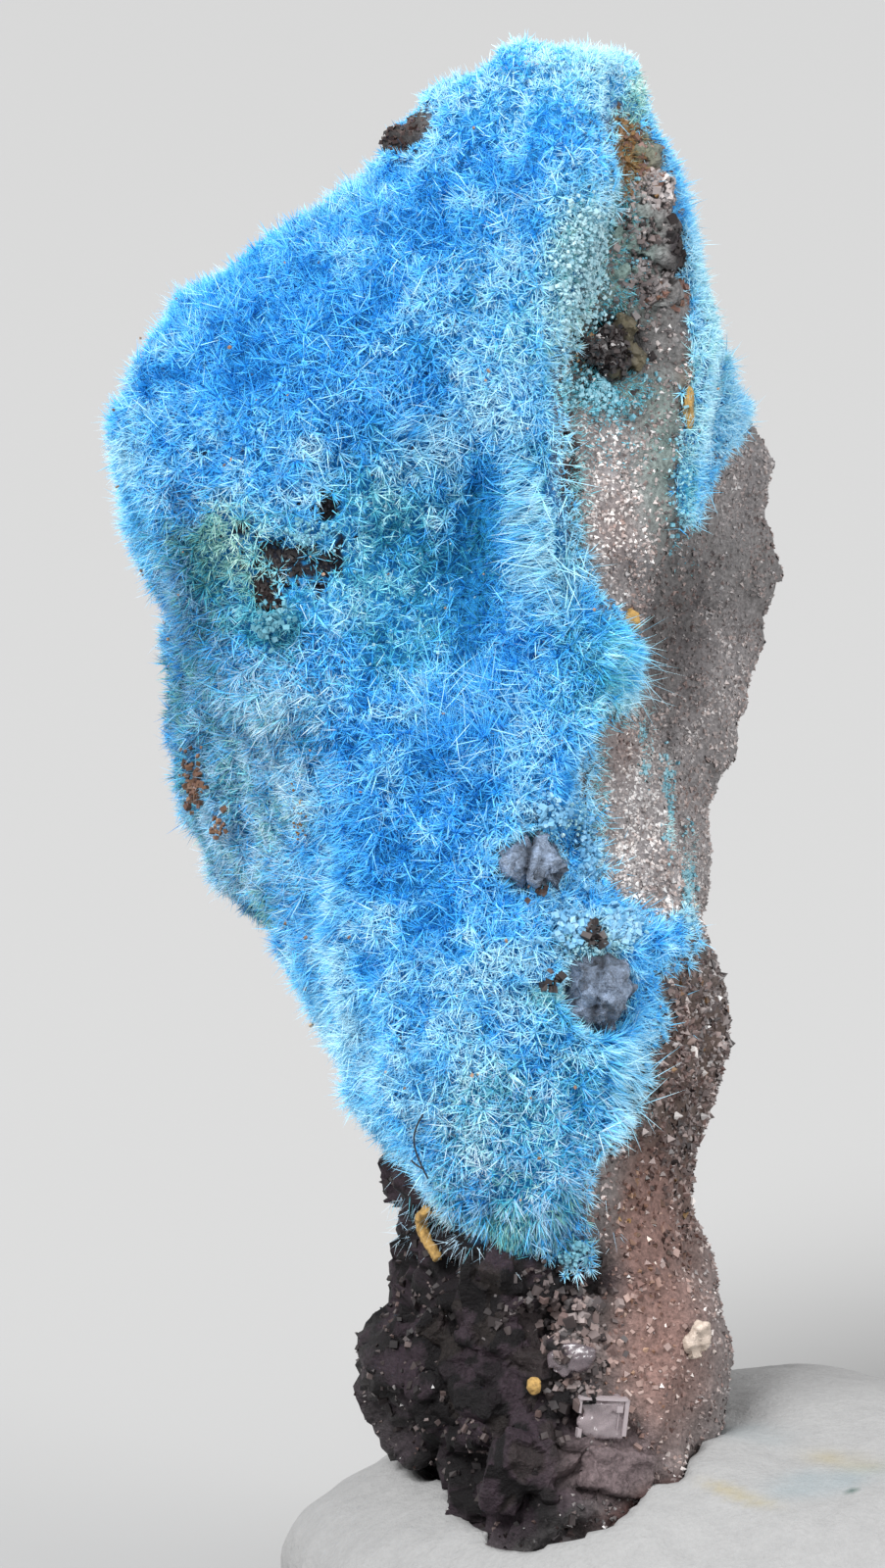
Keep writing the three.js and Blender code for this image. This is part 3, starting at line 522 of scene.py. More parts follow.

# %% [markdown]
# ## The felt's colours
# The felt is blue, but not everywhere the same blue. Four tables say where it is deeper or paler,
# where it turns teal or olive green, and where the edges are a dusty blue. Some deeper and paler
# patches are painted shade in hollows and painted light on ridges. Reading them needle by needle
# gives soft mottled borders, which one material over the whole felt couldn't.

# %% Deep and pale patches
# A negative strength is deeper and a positive one is paler. The dimple, hollow and valley rows
# are painted shade, and the ridge lights are painted light
TINT_AND_SHADE_PATCHES = [
    ("pale crown", -1.25, 18.95, 1.50, 0.47, 0, 0.4),
    ("pale crown, right", -0.47, 18.54, 0.42, 0.75, 0, 0.36),
    ("dark dimple in the crown", -1.75, 18.97, 0.28, 0.17, 0, -0.45),
    ("second dimple", -0.72, 18.7, 0.23, 0.17, 0, -0.35),
    ("blue below the crown", -0.94, 18.04, 0.75, 0.33, 0, -0.22),
    ("upper blue", -2.0, 17.72, 1.12, 0.62, 20, -0.05),
    ("shoulder slope", -4.62, 16.6, 1.12, 0.42, -28, -0.12),
    ("deep shoulder", -4.25, 15.72, 1.31, 0.69, -20, -0.14),
    ("deep below the shoulder", -5.12, 14.91, 0.88, 0.47, 0, -0.26),
    ("pale corner", -6.65, 14.34, 0.28, 0.75, 0, 0.26),
    ("corner hollow", -6.13, 14.95, 0.3, 0.1, 8, -0.8),
    ("corner hollow, left", -6.45, 14.78, 0.12, 0.16, 20, -0.7),
    ("dark arc right of the pits", -2.85, 12.8, 0.09, 0.28, -20, -0.6),
    ("pale upper middle", -1.75, 15.97, 1.00, 0.75, 0, 0.12),
    ("pale knot", -2.19, 14.47, 0.69, 0.33, 0, 0.3),
    ("whirl of hairs", -3.0, 14.16, 0.53, 0.38, 0, 0.1),
    ("pale spot", -4.31, 14.01, 0.17, 0.15, 0, 0.5),
    ("pale spot low", -4.28, 12.9, 0.15, 0.12, 0, 0.4),
    ("navy valley", -2.16, 12.78, 0.23, 1.0, 4, -1.0),
    ("valley foot", -2.38, 11.71, 0.42, 0.50, 0, -0.22),
    ("silky brush", -1.31, 12.97, 0.45, 1.12, -10, 0.42),
    ("bulge", -0.6, 11.36, 0.55, 0.55, 0, -0.25),
    ("bulge rim", -0.25, 10.71, 0.33, 0.17, 0, 0.34),
    ("long-needle hollow", -2.44, 10.59, 0.65, 0.75, 0, -0.16),
    ("bright dash", -3.35, 10.64, 0.38, 0.10, 0, 0.55),
    ("ridge light upper", -5.56, 11.53, 0.23, 0.75, 28, 0.16),
    ("ridge light lower", -4.5, 9.34, 0.20, 1.12, 12, 0.12),
    ("mottled deep", -2.88, 9.09, 1.12, 1.12, 0, -0.06),
    ("deep spot a", -3.31, 8.4, 0.30, 0.17, 0, -0.65),
    ("deep spot b", -2.56, 8.09, 0.33, 0.20, 0, -0.6),
    ("deep spot c", -2.0, 9.71, 0.25, 0.20, 0, -0.55),
    ("deep spot d", -3.6, 7.4, 0.17, 0.17, 0, -0.55),
    ("deep spot e", -2.38, 7.65, 0.2, 0.15, 0, -0.4),
    ("deep spot f", -3.88, 10.21, 0.25, 0.2, 0, -0.4),
    ("low left edge", -3.94, 7.08, 0.25, 1.12, 10, 0.18),
    ("tongue", -1.75, 5.33, 1.38, 1.12, 0, 0.12),
    ("tongue tip", -1.31, 4.21, 1.00, 0.55, 0, -0.38),
    ("beside the lower knob", -0.75, 7.96, 0.50, 0.25, 0, 0.55),
    ("around the upper knob", -1.25, 9.34, 0.45, 0.23, 0, 0.3),
    # Painted shade: the felt in the knob gap is deeper
    ("knob gap", -0.88, 8.96, 0.12, 0.23, 0, -0.5),
    ("right fringe low", -0.25, 5.83, 0.25, 0.75, 0, 0.15),
    ("rim strip", 0.81, 15.59, 0.50, 1.88, 10, 0.4),
    ("lobe cap", 1.06, 14.22, 0.50, 0.50, 0, 0.22),
    ("beside the window", -0.75, 16.2, 0.50, 1.10, 0, 0.9),
    ("left edge", -6.0, 11.2, 0.6, 1.70, 8, -0.6),
    ("left face, low", -4.9, 8.2, 0.5, 0.9, 20, -0.2),
    ("centre low", -2.2, 7.0, 1.4, 1.6, 0, 0.24),
    ("left pits", -5.1, 12.6, 0.5, 0.5, 0, 0.2),
    ("round the knobs", -1.0, 8.3, 0.6, 1.2, 0, 0.12),
    ("left of the pits", -5.95, 13.0, 0.4, 0.8, 0, -0.2),
]
print(len(TINT_AND_SHADE_PATCHES), "deep or pale patches")

# %% [markdown]
# Teal felt lies in the hollows and round the bare window, green on the crests, and dusty felt where
# the needles thin out. Here a strength is the share of needles that have the colour.

# %% Teal, green and dusty patches
TEAL_PATCHES = [
    ("middle hollow", -3.25, 12.72, 0.97, 1.15, 0, 0.95),
    ("middle hollow, low", -3.12, 11.46, 0.75, 0.50, 0, 0.5),
    ("left pits", -5.12, 12.47, 0.88, 0.70, 0, 0.8),
    ("granules below the pits", -4.81, 11.71, 0.50, 0.30, 0, 0.9),
    ("beside the window", -0.75, 16.35, 0.55, 0.94, 0, 0.95),
    ("window foot", -0.75, 14.72, 0.56, 0.35, 0, 0.9),
    ("window crest", -0.25, 18.22, 0.20, 0.62, 0, 0.8),
    ("knob blocks", -0.62, 7.83, 0.57, 0.33, 0, 0.35),
    ("knob smear", -1.31, 7.08, 0.33, 0.17, 0, 0.8),
    ("left face", -5.5, 9.5, 1.0, 2.8, 14, 0.25),
    ("left edge", -6.0, 11.2, 0.55, 1.5, 8, 0.2),
    ("crown", -1.2, 18.8, 1.5, 0.6, 0, 0.25),
    ("navy valley", -2.16, 12.6, 0.25, 1.0, 4, 0.5),
    ("shoulder edge", -4.12, 17.16, 0.50, 0.15, -25, 0.4),
    ("corner low", -6.38, 12.72, 0.25, 0.62, 0, 0.35),
    ("tongue", -1.6, 5.4, 1.3, 1.2, 0, 0.5),
    ("tongue tip", -1.4, 4.1, 1.20, 0.50, 0, 0.2),
    ("bulge", -0.5, 11.2, 0.8, 0.8, 0, 0.7),
    ("silky brush", -1.3, 13.0, 0.6, 1.2, -10, 0.4),
    ("pale upper middle", -1.8, 15.6, 1.2, 1.0, 0, 0.25),
    ("right of the tongue", -0.6, 6.4, 0.6, 0.9, 0, 0.3),
    ("rim strip", 0.94, 15.59, 0.38, 2.00, 10, 0.6),
    ("bare rim", 0.57, 13.47, 0.15, 0.88, 0, 0.5),
]
GREEN_PATCHES = [
    ("ochre green patch", -5.4, 12.77, 0.50, 0.50, 30, 0.85),
    ("green below", -4.97, 12.22, 0.28, 0.23, 0, 0.5),
    ("green beside the window", -1.0, 15.4, 0.26, 0.45, 0, 0.45),
    ("green above the crystal patch", -0.75, 16.6, 0.2, 0.6, 0, 0.3),
    ("green crest", -0.06, 18.47, 0.15, 0.50, 15, 0.7),
    ("left foot edge", -4.97, 7.83, 0.23, 0.38, 0, 0.5),
    ("tongue's veil", -1.5, 4.2, 1.3, 0.70, 0, 0.2),
    ("left face", -5.2, 8.6, 0.9, 2.2, 16, 0.12),
    ("left edge", -6.0, 11.3, 0.6, 1.8, 8, 0.2),
]
DUSTY_PATCHES = [
    ("tongue's veil", -1.5, 4.1, 1.4, 0.70, 0, 0.7),
    ("tongue", -1.6, 5.2, 1.3, 1.0, 0, 0.5),
    ("left face", -5.4, 9.0, 1.0, 2.6, 16, 0.8),
    ("left edge", -6.0, 11.3, 0.6, 1.8, 8, 0.6),
    ("left of the pits", -5.9, 12.6, 0.5, 0.9, 0, 0.4),
]
print(len(TEAL_PATCHES), "teal,", len(GREEN_PATCHES), "green and", len(DUSTY_PATCHES), "dusty patches")

# %% [markdown]
# ## Sorting needles by colour
# First each needle gets its tint, from the table and from noise in three sizes. The noise stands
# for the small differences that every spray has.

# %% Tint of each needle
where = to_stone(roots + headings * (0.6 * lengths)[:, None])
tints += 0.56 + patch_strength(where, TINT_AND_SHADE_PATCHES)
tints += 0.29 * lumps(where, 0.32, 1) + 0.14 * lumps(where, 0.8, 2) + 0.13 * lumps(where, 0.12, 3)
tints += 0.2 * (rng.random(len(roots)) < 0.1)
# On the crown the needles are short
lengths = lengths * (1 - 0.4 * np.clip((where[:, 1] - 17.4) / 0.8, 0, 1))
print(f"tints run from {tints.min():.1f} to {tints.max():.1f}, on average {tints.mean():.2f}")

# %% [markdown]
# Then the colours. Each colour of needle gets a material of its own, so it is a piece of its own
# too. The blue ones are many, and are parted by height to keep every piece light. Teal ones are
# short, like velvet.

# %% Sort the needles
# v from which the blue needles count as the crown's and as the middle's
CROWN_FROM, MIDDLE_FROM = 15.2, 10.4
mottle = 0.3 * lumps(where, 0.3, 4)


def share_of_needles(table, unevenness):
    """The share of needles that have a table's colour, from 0 to 1, with mottled borders."""
    share = patch_strength(where, table)
    return np.clip(share + unevenness, 0, 1) * (share > 0.05)


teal_share = share_of_needles(TEAL_PATCHES, mottle)
green_share = share_of_needles(GREEN_PATCHES, mottle)
roll = rng.random(len(roots))
is_green = roll < green_share
is_teal = ~is_green & (roll < green_share + teal_share)
dusty_share = share_of_needles(DUSTY_PATCHES, 0.4 * mottle)
is_dusty = ~is_green & ~is_teal & (rng.random(len(roots)) < dusty_share)
is_blue = ~is_green & ~is_teal & ~is_dusty
lengths = lengths * np.where(is_teal, 0.72, np.where(is_green, 0.8, 1.0))
in_crown = where[:, 1] > CROWN_FROM
in_foot = where[:, 1] <= MIDDLE_FROM
# Each piece with its finish and the needles in it
NEEDLE_PIECES = {
    "azure_needles_crown": ("azure needle", is_blue & in_crown),
    "azure_needles_middle": ("azure needle", is_blue & ~in_crown & ~in_foot),
    "azure_needles_foot": ("azure needle", is_blue & in_foot),
    "teal_needles": ("teal needle", is_teal),
    "green_needles": ("olive green needle", is_green),
    "dusty_needles": ("dusty blue needle", is_dusty),
}
print("needles:", {name: int(chosen.sum()) for name, (_, chosen) in NEEDLE_PIECES.items()})
print(f"half of them are under {np.median(lengths):.2f} mm long, and the longest is {lengths.max():.2f} mm")

# %% [markdown]
# ## Needle meshes
# A real needle is a fine prism. A round rod for each would cost too many triangles, so each is a
# narrow blade folded along its middle, two triangles that meet in a tip. Its texture map is laid
# out for its own palette: tint runs across the map and the way from root to tip runs up it.

# %% Needle meshes
NEEDLE_WIDTH = 0.02
# Tints keep this far from the palette's ends, and a fold's two sides differ by this much
PALETTE_EDGE = 0.03
FOLD_TINT = 0.012


def put_map(piece, triangles, across, upward):
    """The map that a palette finish reads, from two numbers at each point."""
    layer = piece.data.uv_layers.new(name="OFBake")
    corner = np.asarray(triangles).ravel()
    pairs = np.stack([across[corner], upward[corner]], axis=1)
    layer.data.foreach_set("uv", pairs.astype(np.float32).ravel())


def needle_mesh(name, root, heading, length, tint, width, dice):
    """A piece of folded blades, each turned about itself by chance."""
    count = len(root)
    a, b = side_ways(heading)
    spin = dice.uniform(0, 2 * math.pi, count)[:, None]
    a, b = a * np.cos(spin) + b * np.sin(spin), b * np.cos(spin) - a * np.sin(spin)
    half = (width / 2 * dice.uniform(0.65, 1.2, count))[:, None]
    tip = root + heading * length[:, None]
    points = np.stack([root - a * half, root + b * half, root + a * half, tip], axis=1).reshape(-1, 3)
    first = 4 * np.arange(count)[:, None, None]
    triangles = (first + np.array([[0, 1, 3], [1, 2, 3]])).reshape(-1, 3)
    piece = make_piece(name, points, triangles, smooth=False)
    middle = np.clip(tint, PALETTE_EDGE, 1 - PALETTE_EDGE)
    across = np.stack([middle - FOLD_TINT, middle, middle + FOLD_TINT, middle], axis=1).ravel()
    put_map(piece, triangles, across, np.tile([0.0, 0.03, 0.0, 1.0], count))
    return piece


# %% [markdown]
# ## Colours
# A colour is written from 0 to 255. The studio's light is strong, as it must be for pale needles
# deep in a felt, so a plain surface that should look like a colour is given a darker one.

# %% Colours
STUDIO = 1.4


def light(red, green, blue, dim=1.0):
    """The shader's colour for one written as a screen shows it, made darker by a factor."""
    def linear(value):
        value = value / 255
        return (value / 12.92 if value <= 0.04045 else ((value + 0.055) / 1.055) ** 2.4) / dim
    return (linear(red), linear(green), linear(blue), 1.0)


def looks(red, green, blue):
    """The surface colour that looks like this one in the studio's light."""
    return light(red, green, blue, STUDIO)


# %% [markdown]
# ## The needles' finish
# A single needle is clear blue and silky. Its root sits in blue shade and its tip catches white
# light. Real see-through needles would take very long to render, so the colour does it: it runs
# from deep to pale along the needle, and from deep to pale with its tint.

# %% Helpers for materials
def new_material(name, roughness, colour=None, specular=None, transmission=None, ior=None):
    """A material, its node tree and its Principled shader. Values left out stay Blender's own."""
    material = bpy.data.materials.new(name)
    material.use_nodes = True
    shader = material.node_tree.nodes["Principled BSDF"]
    for socket, value in (("Roughness", roughness), ("Base Color", colour), ("IOR", ior),
                          ("Specular IOR Level", specular), ("Transmission Weight", transmission)):
        if value is not None:
            shader.inputs[socket].default_value = value
    return material, material.node_tree, shader


def ramp(tree, stops, source):
    """A colour ramp from stops of position and colour, read at the source's value."""
    node = tree.nodes.new("ShaderNodeValToRGB")
    elements = node.color_ramp.elements
    while len(elements) < len(stops):
        elements.new(0.5)
    for element, (position, colour) in zip(elements, stops):
        element.position = position
        element.color = colour
    tree.links.new(source, node.inputs[0])
    return node.outputs["Color"]


def feed(tree, socket, value):
    """Link a value that comes from a node, or set a plain one."""
    if isinstance(value, bpy.types.NodeSocket):
        tree.links.new(value, socket)
    else:
        socket.default_value = value


def mix_colour(tree, share, first, second):
    """The first colour where the share is 0, the second where it is 1."""
    node = tree.nodes.new("ShaderNodeMix")
    node.data_type = "RGBA"
    feed(tree, node.inputs[0], share)
    feed(tree, node.inputs[6], first)
    feed(tree, node.inputs[7], second)
    return node.outputs[2]


def maths(tree, operation, *values):
    node = tree.nodes.new("ShaderNodeMath")
    node.operation = operation
    for socket, value in zip(node.inputs, values):
        feed(tree, socket, value)
    return node.outputs[0]


# %% [markdown]
# A palette finish reads the two numbers of a piece's map and finds its colour on a ramp. That way
# thousands of grains differ in colour within one material.

# %% Helpers for palettes
def map_axes(tree):
    """The two numbers that a piece's palette map holds."""
    uv = tree.nodes.new("ShaderNodeUVMap")
    uv.uv_map = "OFBake"
    split = tree.nodes.new("ShaderNodeSeparateXYZ")
    tree.links.new(uv.outputs["UV"], split.inputs[0])
    return split.outputs["X"], split.outputs["Y"]


def stops_as(shade, rows):
    """Palette stops from rows of position, red, green and blue."""
    return [(position, shade(*colour)) for position, *colour in rows]


# %% [markdown]
# The blue and green kinds and the ochre hairs share one way of colouring. Only the palettes differ,
# so they stand in a table: the deep one is read at the roots and the pale one at the tips.

# %% Needle finish
# Rows of position, red, green and blue for roots, then for tips
NEEDLE_PALETTES = {
    "azure needle": (
        light,
        [(0.0, 14, 104, 184), (0.35, 34, 166, 244), (0.65, 74, 192, 250), (1.0, 152, 222, 248)],
        [(0.0, 50, 166, 234), (0.35, 98, 208, 255), (0.65, 154, 229, 254), (1.0, 218, 244, 252)],
    ),
    "teal needle": (
        light,
        [(0.0, 20, 98, 126), (0.4, 46, 150, 182), (0.7, 90, 184, 206), (1.0, 150, 220, 230)],
        [(0.0, 60, 160, 188), (0.4, 96, 202, 222), (0.7, 150, 226, 236), (1.0, 222, 248, 248)],
    ),
    "olive green needle": (
        light,
        [(0.0, 48, 100, 106), (0.5, 94, 162, 166), (1.0, 168, 216, 210)],
        [(0.0, 106, 165, 158), (0.5, 160, 212, 202), (1.0, 224, 245, 234)],
    ),
    "dusty blue needle": (
        light,
        [(0.0, 66, 122, 158), (0.5, 114, 168, 204), (1.0, 178, 212, 230)],
        [(0.0, 114, 166, 200), (0.5, 168, 208, 230), (1.0, 226, 240, 246)],
    ),
    "turquoise crumb": (
        looks,
        [(0.0, 60, 124, 146), (0.5, 112, 178, 200), (1.0, 190, 225, 235)],
        [(0.0, 70, 134, 154), (0.5, 128, 190, 208), (1.0, 205, 235, 242)],
    ),
    "felt clod": (
        looks,
        [(0.0, 50, 116, 176), (0.5, 104, 172, 216), (1.0, 180, 220, 240)],
        [(0.0, 66, 134, 190), (0.5, 124, 188, 226), (1.0, 200, 232, 246)],
    ),
    "ochre hair": (
        looks,
        [(0.0, 96, 66, 26), (1.0, 176, 140, 84)],
        [(0.0, 160, 122, 62), (1.0, 226, 200, 150)],
    ),
}


def needle_finish(name, shade, root_rows, tip_rows):
    """A silky finish that runs from its root palette to its tip palette."""
    material, tree, shader = new_material(name, 0.4, specular=0.4)
    across, upward = map_axes(tree)
    along = maths(tree, "POWER", upward, 0.9)
    root_colour = ramp(tree, stops_as(shade, root_rows), across)
    tip_colour = ramp(tree, stops_as(shade, tip_rows), across)
    tree.links.new(mix_colour(tree, along, root_colour, tip_colour), shader.inputs["Base Color"])
    return material


needle_finishes = {name: needle_finish(name, *palette) for name, palette in NEEDLE_PALETTES.items()}
print("finishes:", ", ".join(needle_finishes))

# %% [markdown]
# Every piece is finished in the same way: it rides on the resting part, and may stand in for a
# imported solid. The needles come first. Together they stand in for the solid crust.

# %% Needle pieces
def finish_piece(piece, material, slot, *replaced):
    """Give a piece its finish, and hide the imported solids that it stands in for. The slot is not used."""
    piece.data.materials.append(material)
    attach(piece, "root")
    if replaced:
        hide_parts(*replaced)
    print(f"{piece.name}: {len(piece.data.polygons)} triangles")
    return piece


for name, (finish, chosen) in NEEDLE_PIECES.items():
    made = needle_mesh(name, roots[chosen], headings[chosen], lengths[chosen], tints[chosen],
                       NEEDLE_WIDTH, rng)
    finish_piece(made, needle_finishes[finish], "cyanotrichite", "cyanotrichite_crust")

# %% [markdown]
# ## The rock
# The bare rock changes from place to place: sugary pinkish grey beside the felt, brown and
# glinting lower down, rosy and smooth at the right foot, nearly black and broken at the left foot.
# Separate pieces would leave hard seams. So each kind is a soft patch, stored as a number at each
# point of the mesh, and one material blends the colours.

# %% The rock's kinds
ROCK_KINDS = {
    "dark": [
        ("left foot", -2.9, 2.9, 1.6, 2.3, 0, 1.0), ("front foot", -1.6, 1.0, 1.25, 1.3, 0, 1.0),
        ("under the felt's tip", -1.7, 3.4, 1.2, 0.8, 0, 0.9),
        ("left of the tip", -3.3, 4.6, 0.6, 0.7, 0, 0.8), ("right contact", 0.4, 0.1, 0.9, 0.5, 0, 0.6),
        # Painted shadow: dark spots among the window's rubble by the rim
        ("spots by the rim", 0.45, 16.5, 0.2, 0.4, 0, 0.9),
        ("crystal patch", -0.42, 15.3, 0.42, 0.36, 0, 1.0),
        # Painted shadow: the panel's left edge is dark below the felt that stands over it
        ("panel's left edge", -1.02, 13.6, 0.1, 0.5, 0, 0.8),
        # Painted shade: the lobe's inner side is darkened
        ("lobe's inner side", 0.4, 11.6, 0.5, 1.3, 0, 0.4), ("nick", -3.2, 18.0, 0.5, 0.5, 0, 0.8),
        # Painted shade: the rock in the narrow gap between the knobs is nearly black
        ("between the knobs", -0.65, 7.9, 0.12, 0.14, 0, 0.8),
        ("low edge of the felt", -0.9, 3.4, 0.5, 0.4, 0, 0.7),
        ("below the flake", -1.15, 2.0, 0.4, 0.6, 0, 0.8),
    ],
    "sugar": [
        ("upper panel", -0.32, 13.3, 0.8, 1.35, 0, 1.0), ("middle panel", 0.05, 9.2, 0.8, 1.6, 0, 1.0),
        ("middle panel, low", 0.35, 8.5, 0.5, 0.7, 0, 0.9),
        ("lobe's crest", 1.4, 13.6, 0.6, 0.8, 0, 0.6), ("window block", 0.0, 16.4, 0.4, 0.36, 0, 0.8),
        ("whitish block", 0.12, 17.2, 0.36, 0.3, 0, 1.0), ("lobe, low", 1.1, 10.9, 0.6, 1.0, 0, 0.7),
    ],
    "rosy": [
        ("right foot", 0.15, 2.7, 0.8, 1.6, 0, 1.0), ("stain", 0.0, 4.3, 0.35, 0.8, 0, 0.8),
        ("blush on the middle panel", -0.3, 10.2, 0.25, 0.5, 0, 0.35),
        ("blush on the upper panel", -0.4, 12.9, 0.3, 0.5, 0, 0.3),
    ],
    "brown": [
        ("right flank", 0.6, 6.2, 0.9, 1.9, 0, 1.0), ("low flank", 0.2, 4.4, 0.7, 1.0, 0, 0.7),
        ("window", 0.1, 17.4, 0.4, 0.7, 0, 0.5),
    ],
    "ochre": [
        ("window's head", -0.12, 17.8, 0.25, 0.4, 0, 0.9), ("rim", 0.55, 14.6, 0.12, 0.5, 0, 0.5),
        ("speck on the rim", -0.2, 11.8, 0.12, 0.12, 0, 0.8),
        ("beside the crystal patch", -0.85, 15.3, 0.12, 0.3, 0, 0.5),
    ],
    "verdigris": [
        ("upper panel's right side", 0.2, 13.8, 0.35, 1.1, 0, 0.55),
        ("window foot", -0.4, 14.7, 0.5, 0.25, 0, 0.7),
        ("window's left side", -0.3, 16.4, 0.45, 0.9, 0, 0.8),
        ("window's crest", 0.0, 18.2, 0.3, 0.6, 0, 0.6),
    ],
    "slab": [
        ("grey slab by the putty", -0.44, 1.15, 0.62, 0.45, 0, 1.3),
    ],
    # Painted shadow: a dark reddish band where the rock meets the putty
    "contact shadow": [
        ("reddish shade above the putty", 0.1, 0.66, 0.9, 0.24, -23, 1.0),
    ],
}
rock_uvw = to_stone(rock[0])


def kinds_at(uvw, front):
    """How much of each kind the rock is at these places. Above the foot only the front changes."""
    front = np.maximum(front, np.clip((5.5 - uvw[:, 1]) / 1.0, 0, 1))
    made = {kind: np.clip(patch_strength(uvw, table), 0, 1) * front
            for kind, table in ROCK_KINDS.items()}
    # Painted highlights: grey patches on the dark rock, lighter as if its facets caught the light
    made["lit facet"] = made["dark"] * np.clip(1.6 * blocks(uvw, 0.3, 40), 0, 0.55)
    return made


facing_front = np.clip((0.6 - turned_away(rock[2])) / 0.5, 0, 1)
kinds = kinds_at(rock_uvw, facing_front)
for kind, values in kinds.items():
    print(f"{kind}: {100 * values.mean():.1f}% of the rock")

# %% [markdown]
# Its fine relief is sugary lumps everywhere, and sharp-edged blocks where the rock is dark and
# broken or lies as rubble. A bump map would leave the outline smooth, so the points really move.

# %% The rock's fine relief
RUBBLE = [
    ("window", 0.1, 16.9, 0.5, 1.1, 0, 1.0), ("round the crystal patch", -0.6, 15.2, 0.5, 0.6, 0, 0.6),
]
rubble = np.clip(patch_strength(rock_uvw, RUBBLE), 0, 1) * facing_front
# Painted shade: the rock at the bottom of the felt's holes is darkened
pit_shade = 1.0 * ~outside_pits(rock[0], 1.3)
bare = 1 - under_felt
relief = 0.04 * lumps(rock[0], 0.2, 5) + 0.06 * lumps(rock[0], 0.5, 6) + 0.04 * blocks(rock[0], 0.3, 7)
# The dark rock breaks in flat steps, so its large blocks are lower than wide
broken = 0.26 * blocks(rock[0] * np.array([1, 1, 1.7]), 0.8, 8) + 0.11 * blocks(rock[0], 0.35, 9)
smooth_here = 1 - 0.5 * kinds["rosy"]
rubble_blocks = blocks(rock[0], 0.5, 24)
relief = bare * (relief * smooth_here + kinds["dark"] * broken
                 + rubble * (0.22 * rubble_blocks + 0.1 * lumps(rock[0], 0.25, 25)))
# Painted shade: the low blocks of the window's rubble are darker
gap_shade = rubble * np.clip(-1.6 * rubble_blocks, 0, 1)
rock_points = rock[0] + rock[2] * relief[:, None]
rock = (rock_points, rock[1], point_normals(rock_points, rock[1]))
rock_piece = make_piece("rock", rock[0], rock[1])


def add_number(piece, name, values):
    """A number at each point of the piece that its material can read."""
    layer = piece.data.attributes.new(name, "FLOAT", "POINT")
    layer.data.foreach_set("value", np.asarray(values, np.float32))


covered = under_felt * np.clip((cover - 0.09) / 0.1, 0, 1)
for kind, values in {**kinds, "gap": gap_shade, "under felt": covered, "pit": pit_shade}.items():
    add_number(rock_piece, kind, values)
print(f"the relief runs from {relief.min():.2f} to {relief.max():.2f} mm")

# %% [markdown]
# ## Speckle
# Rock, ochre and putty all show grains of different clearness. Speckle is one shader group that
# these finishes share: noise that lightens and darkens a colour by a strength, in grains of a size
# in millimetres. It also gives out its height, so that a bump can follow the same grains.

# %% Speckle group
def speckle_group():
    """A node group with Colour, Grain and Strength in, and Colour and Height out."""
    group = bpy.data.node_groups.new("speckle", "ShaderNodeTree")
    for name, kind, value in (("Colour", "NodeSocketColor", None), ("Grain", "NodeSocketFloat", 0.1),
                              ("Strength", "NodeSocketFloat", 0.3)):
        socket = group.interface.new_socket(name, in_out="INPUT", socket_type=kind)
        if value is not None:
            socket.default_value = value
    group.interface.new_socket("Colour", in_out="OUTPUT", socket_type="NodeSocketColor")
    group.interface.new_socket("Height", in_out="OUTPUT", socket_type="NodeSocketFloat")
    given = group.nodes.new("NodeGroupInput")
    made = group.nodes.new("NodeGroupOutput")
    place = group.nodes.new("ShaderNodeTexCoord")
    noise = group.nodes.new("ShaderNodeTexNoise")
    noise.inputs["Detail"].default_value = 4.0
    noise.inputs["Roughness"].default_value = 0.7
    group.links.new(place.outputs["Object"], noise.inputs["Vector"])
    group.links.new(maths(group, "DIVIDE", 1000.0, given.outputs["Grain"]), noise.inputs["Scale"])
    centred = group.nodes.new("ShaderNodeMapRange")
    for socket, value in (("From Min", 0.3), ("From Max", 0.7), ("To Min", -1.0), ("To Max", 1.0)):
        centred.inputs[socket].default_value = value
    group.links.new(noise.outputs[0], centred.inputs["Value"])
    amount = maths(group, "MULTIPLY_ADD", centred.outputs[0], given.outputs["Strength"], 1.0)
    scaled = group.nodes.new("ShaderNodeVectorMath")
    scaled.operation = "SCALE"
    group.links.new(given.outputs["Colour"], scaled.inputs[0])
    group.links.new(amount, scaled.inputs["Scale"])
    group.links.new(scaled.outputs[0], made.inputs["Colour"])
    group.links.new(noise.outputs[0], made.inputs["Height"])
    return group


SPECKLE = speckle_group()
print("speckle group with", [item.name for item in SPECKLE.interface.items_tree])

# %% [markdown]
# A speckled finish is built in one way for all of them: a base colour, other colours where the
# mesh's numbers say so, then one or two speckles, and a bump that follows one of them.

# %% Speckled finishes
def speckled(tree, colour, grain, strength):
    """The speckle group placed in a material: the colour with grains, and their height."""
    node = tree.nodes.new("ShaderNodeGroup")
    node.node_tree = SPECKLE
    feed(tree, node.inputs["Colour"], colour)
    node.inputs["Grain"].default_value = grain
    node.inputs["Strength"].default_value = strength
    return node.outputs["Colour"], node.outputs["Height"]


def bumped(tree, shader, height, depth_mm):
    node = tree.nodes.new("ShaderNodeBump")
    node.inputs["Distance"].default_value = depth_mm * MM
    tree.links.new(height, node.inputs["Height"])
    tree.links.new(node.outputs[0], shader.inputs["Normal"])


def number(tree, name):
    """A number that the mesh holds at its points."""
    node = tree.nodes.new("ShaderNodeAttribute")
    node.attribute_name = name
    return node.outputs["Fac"]


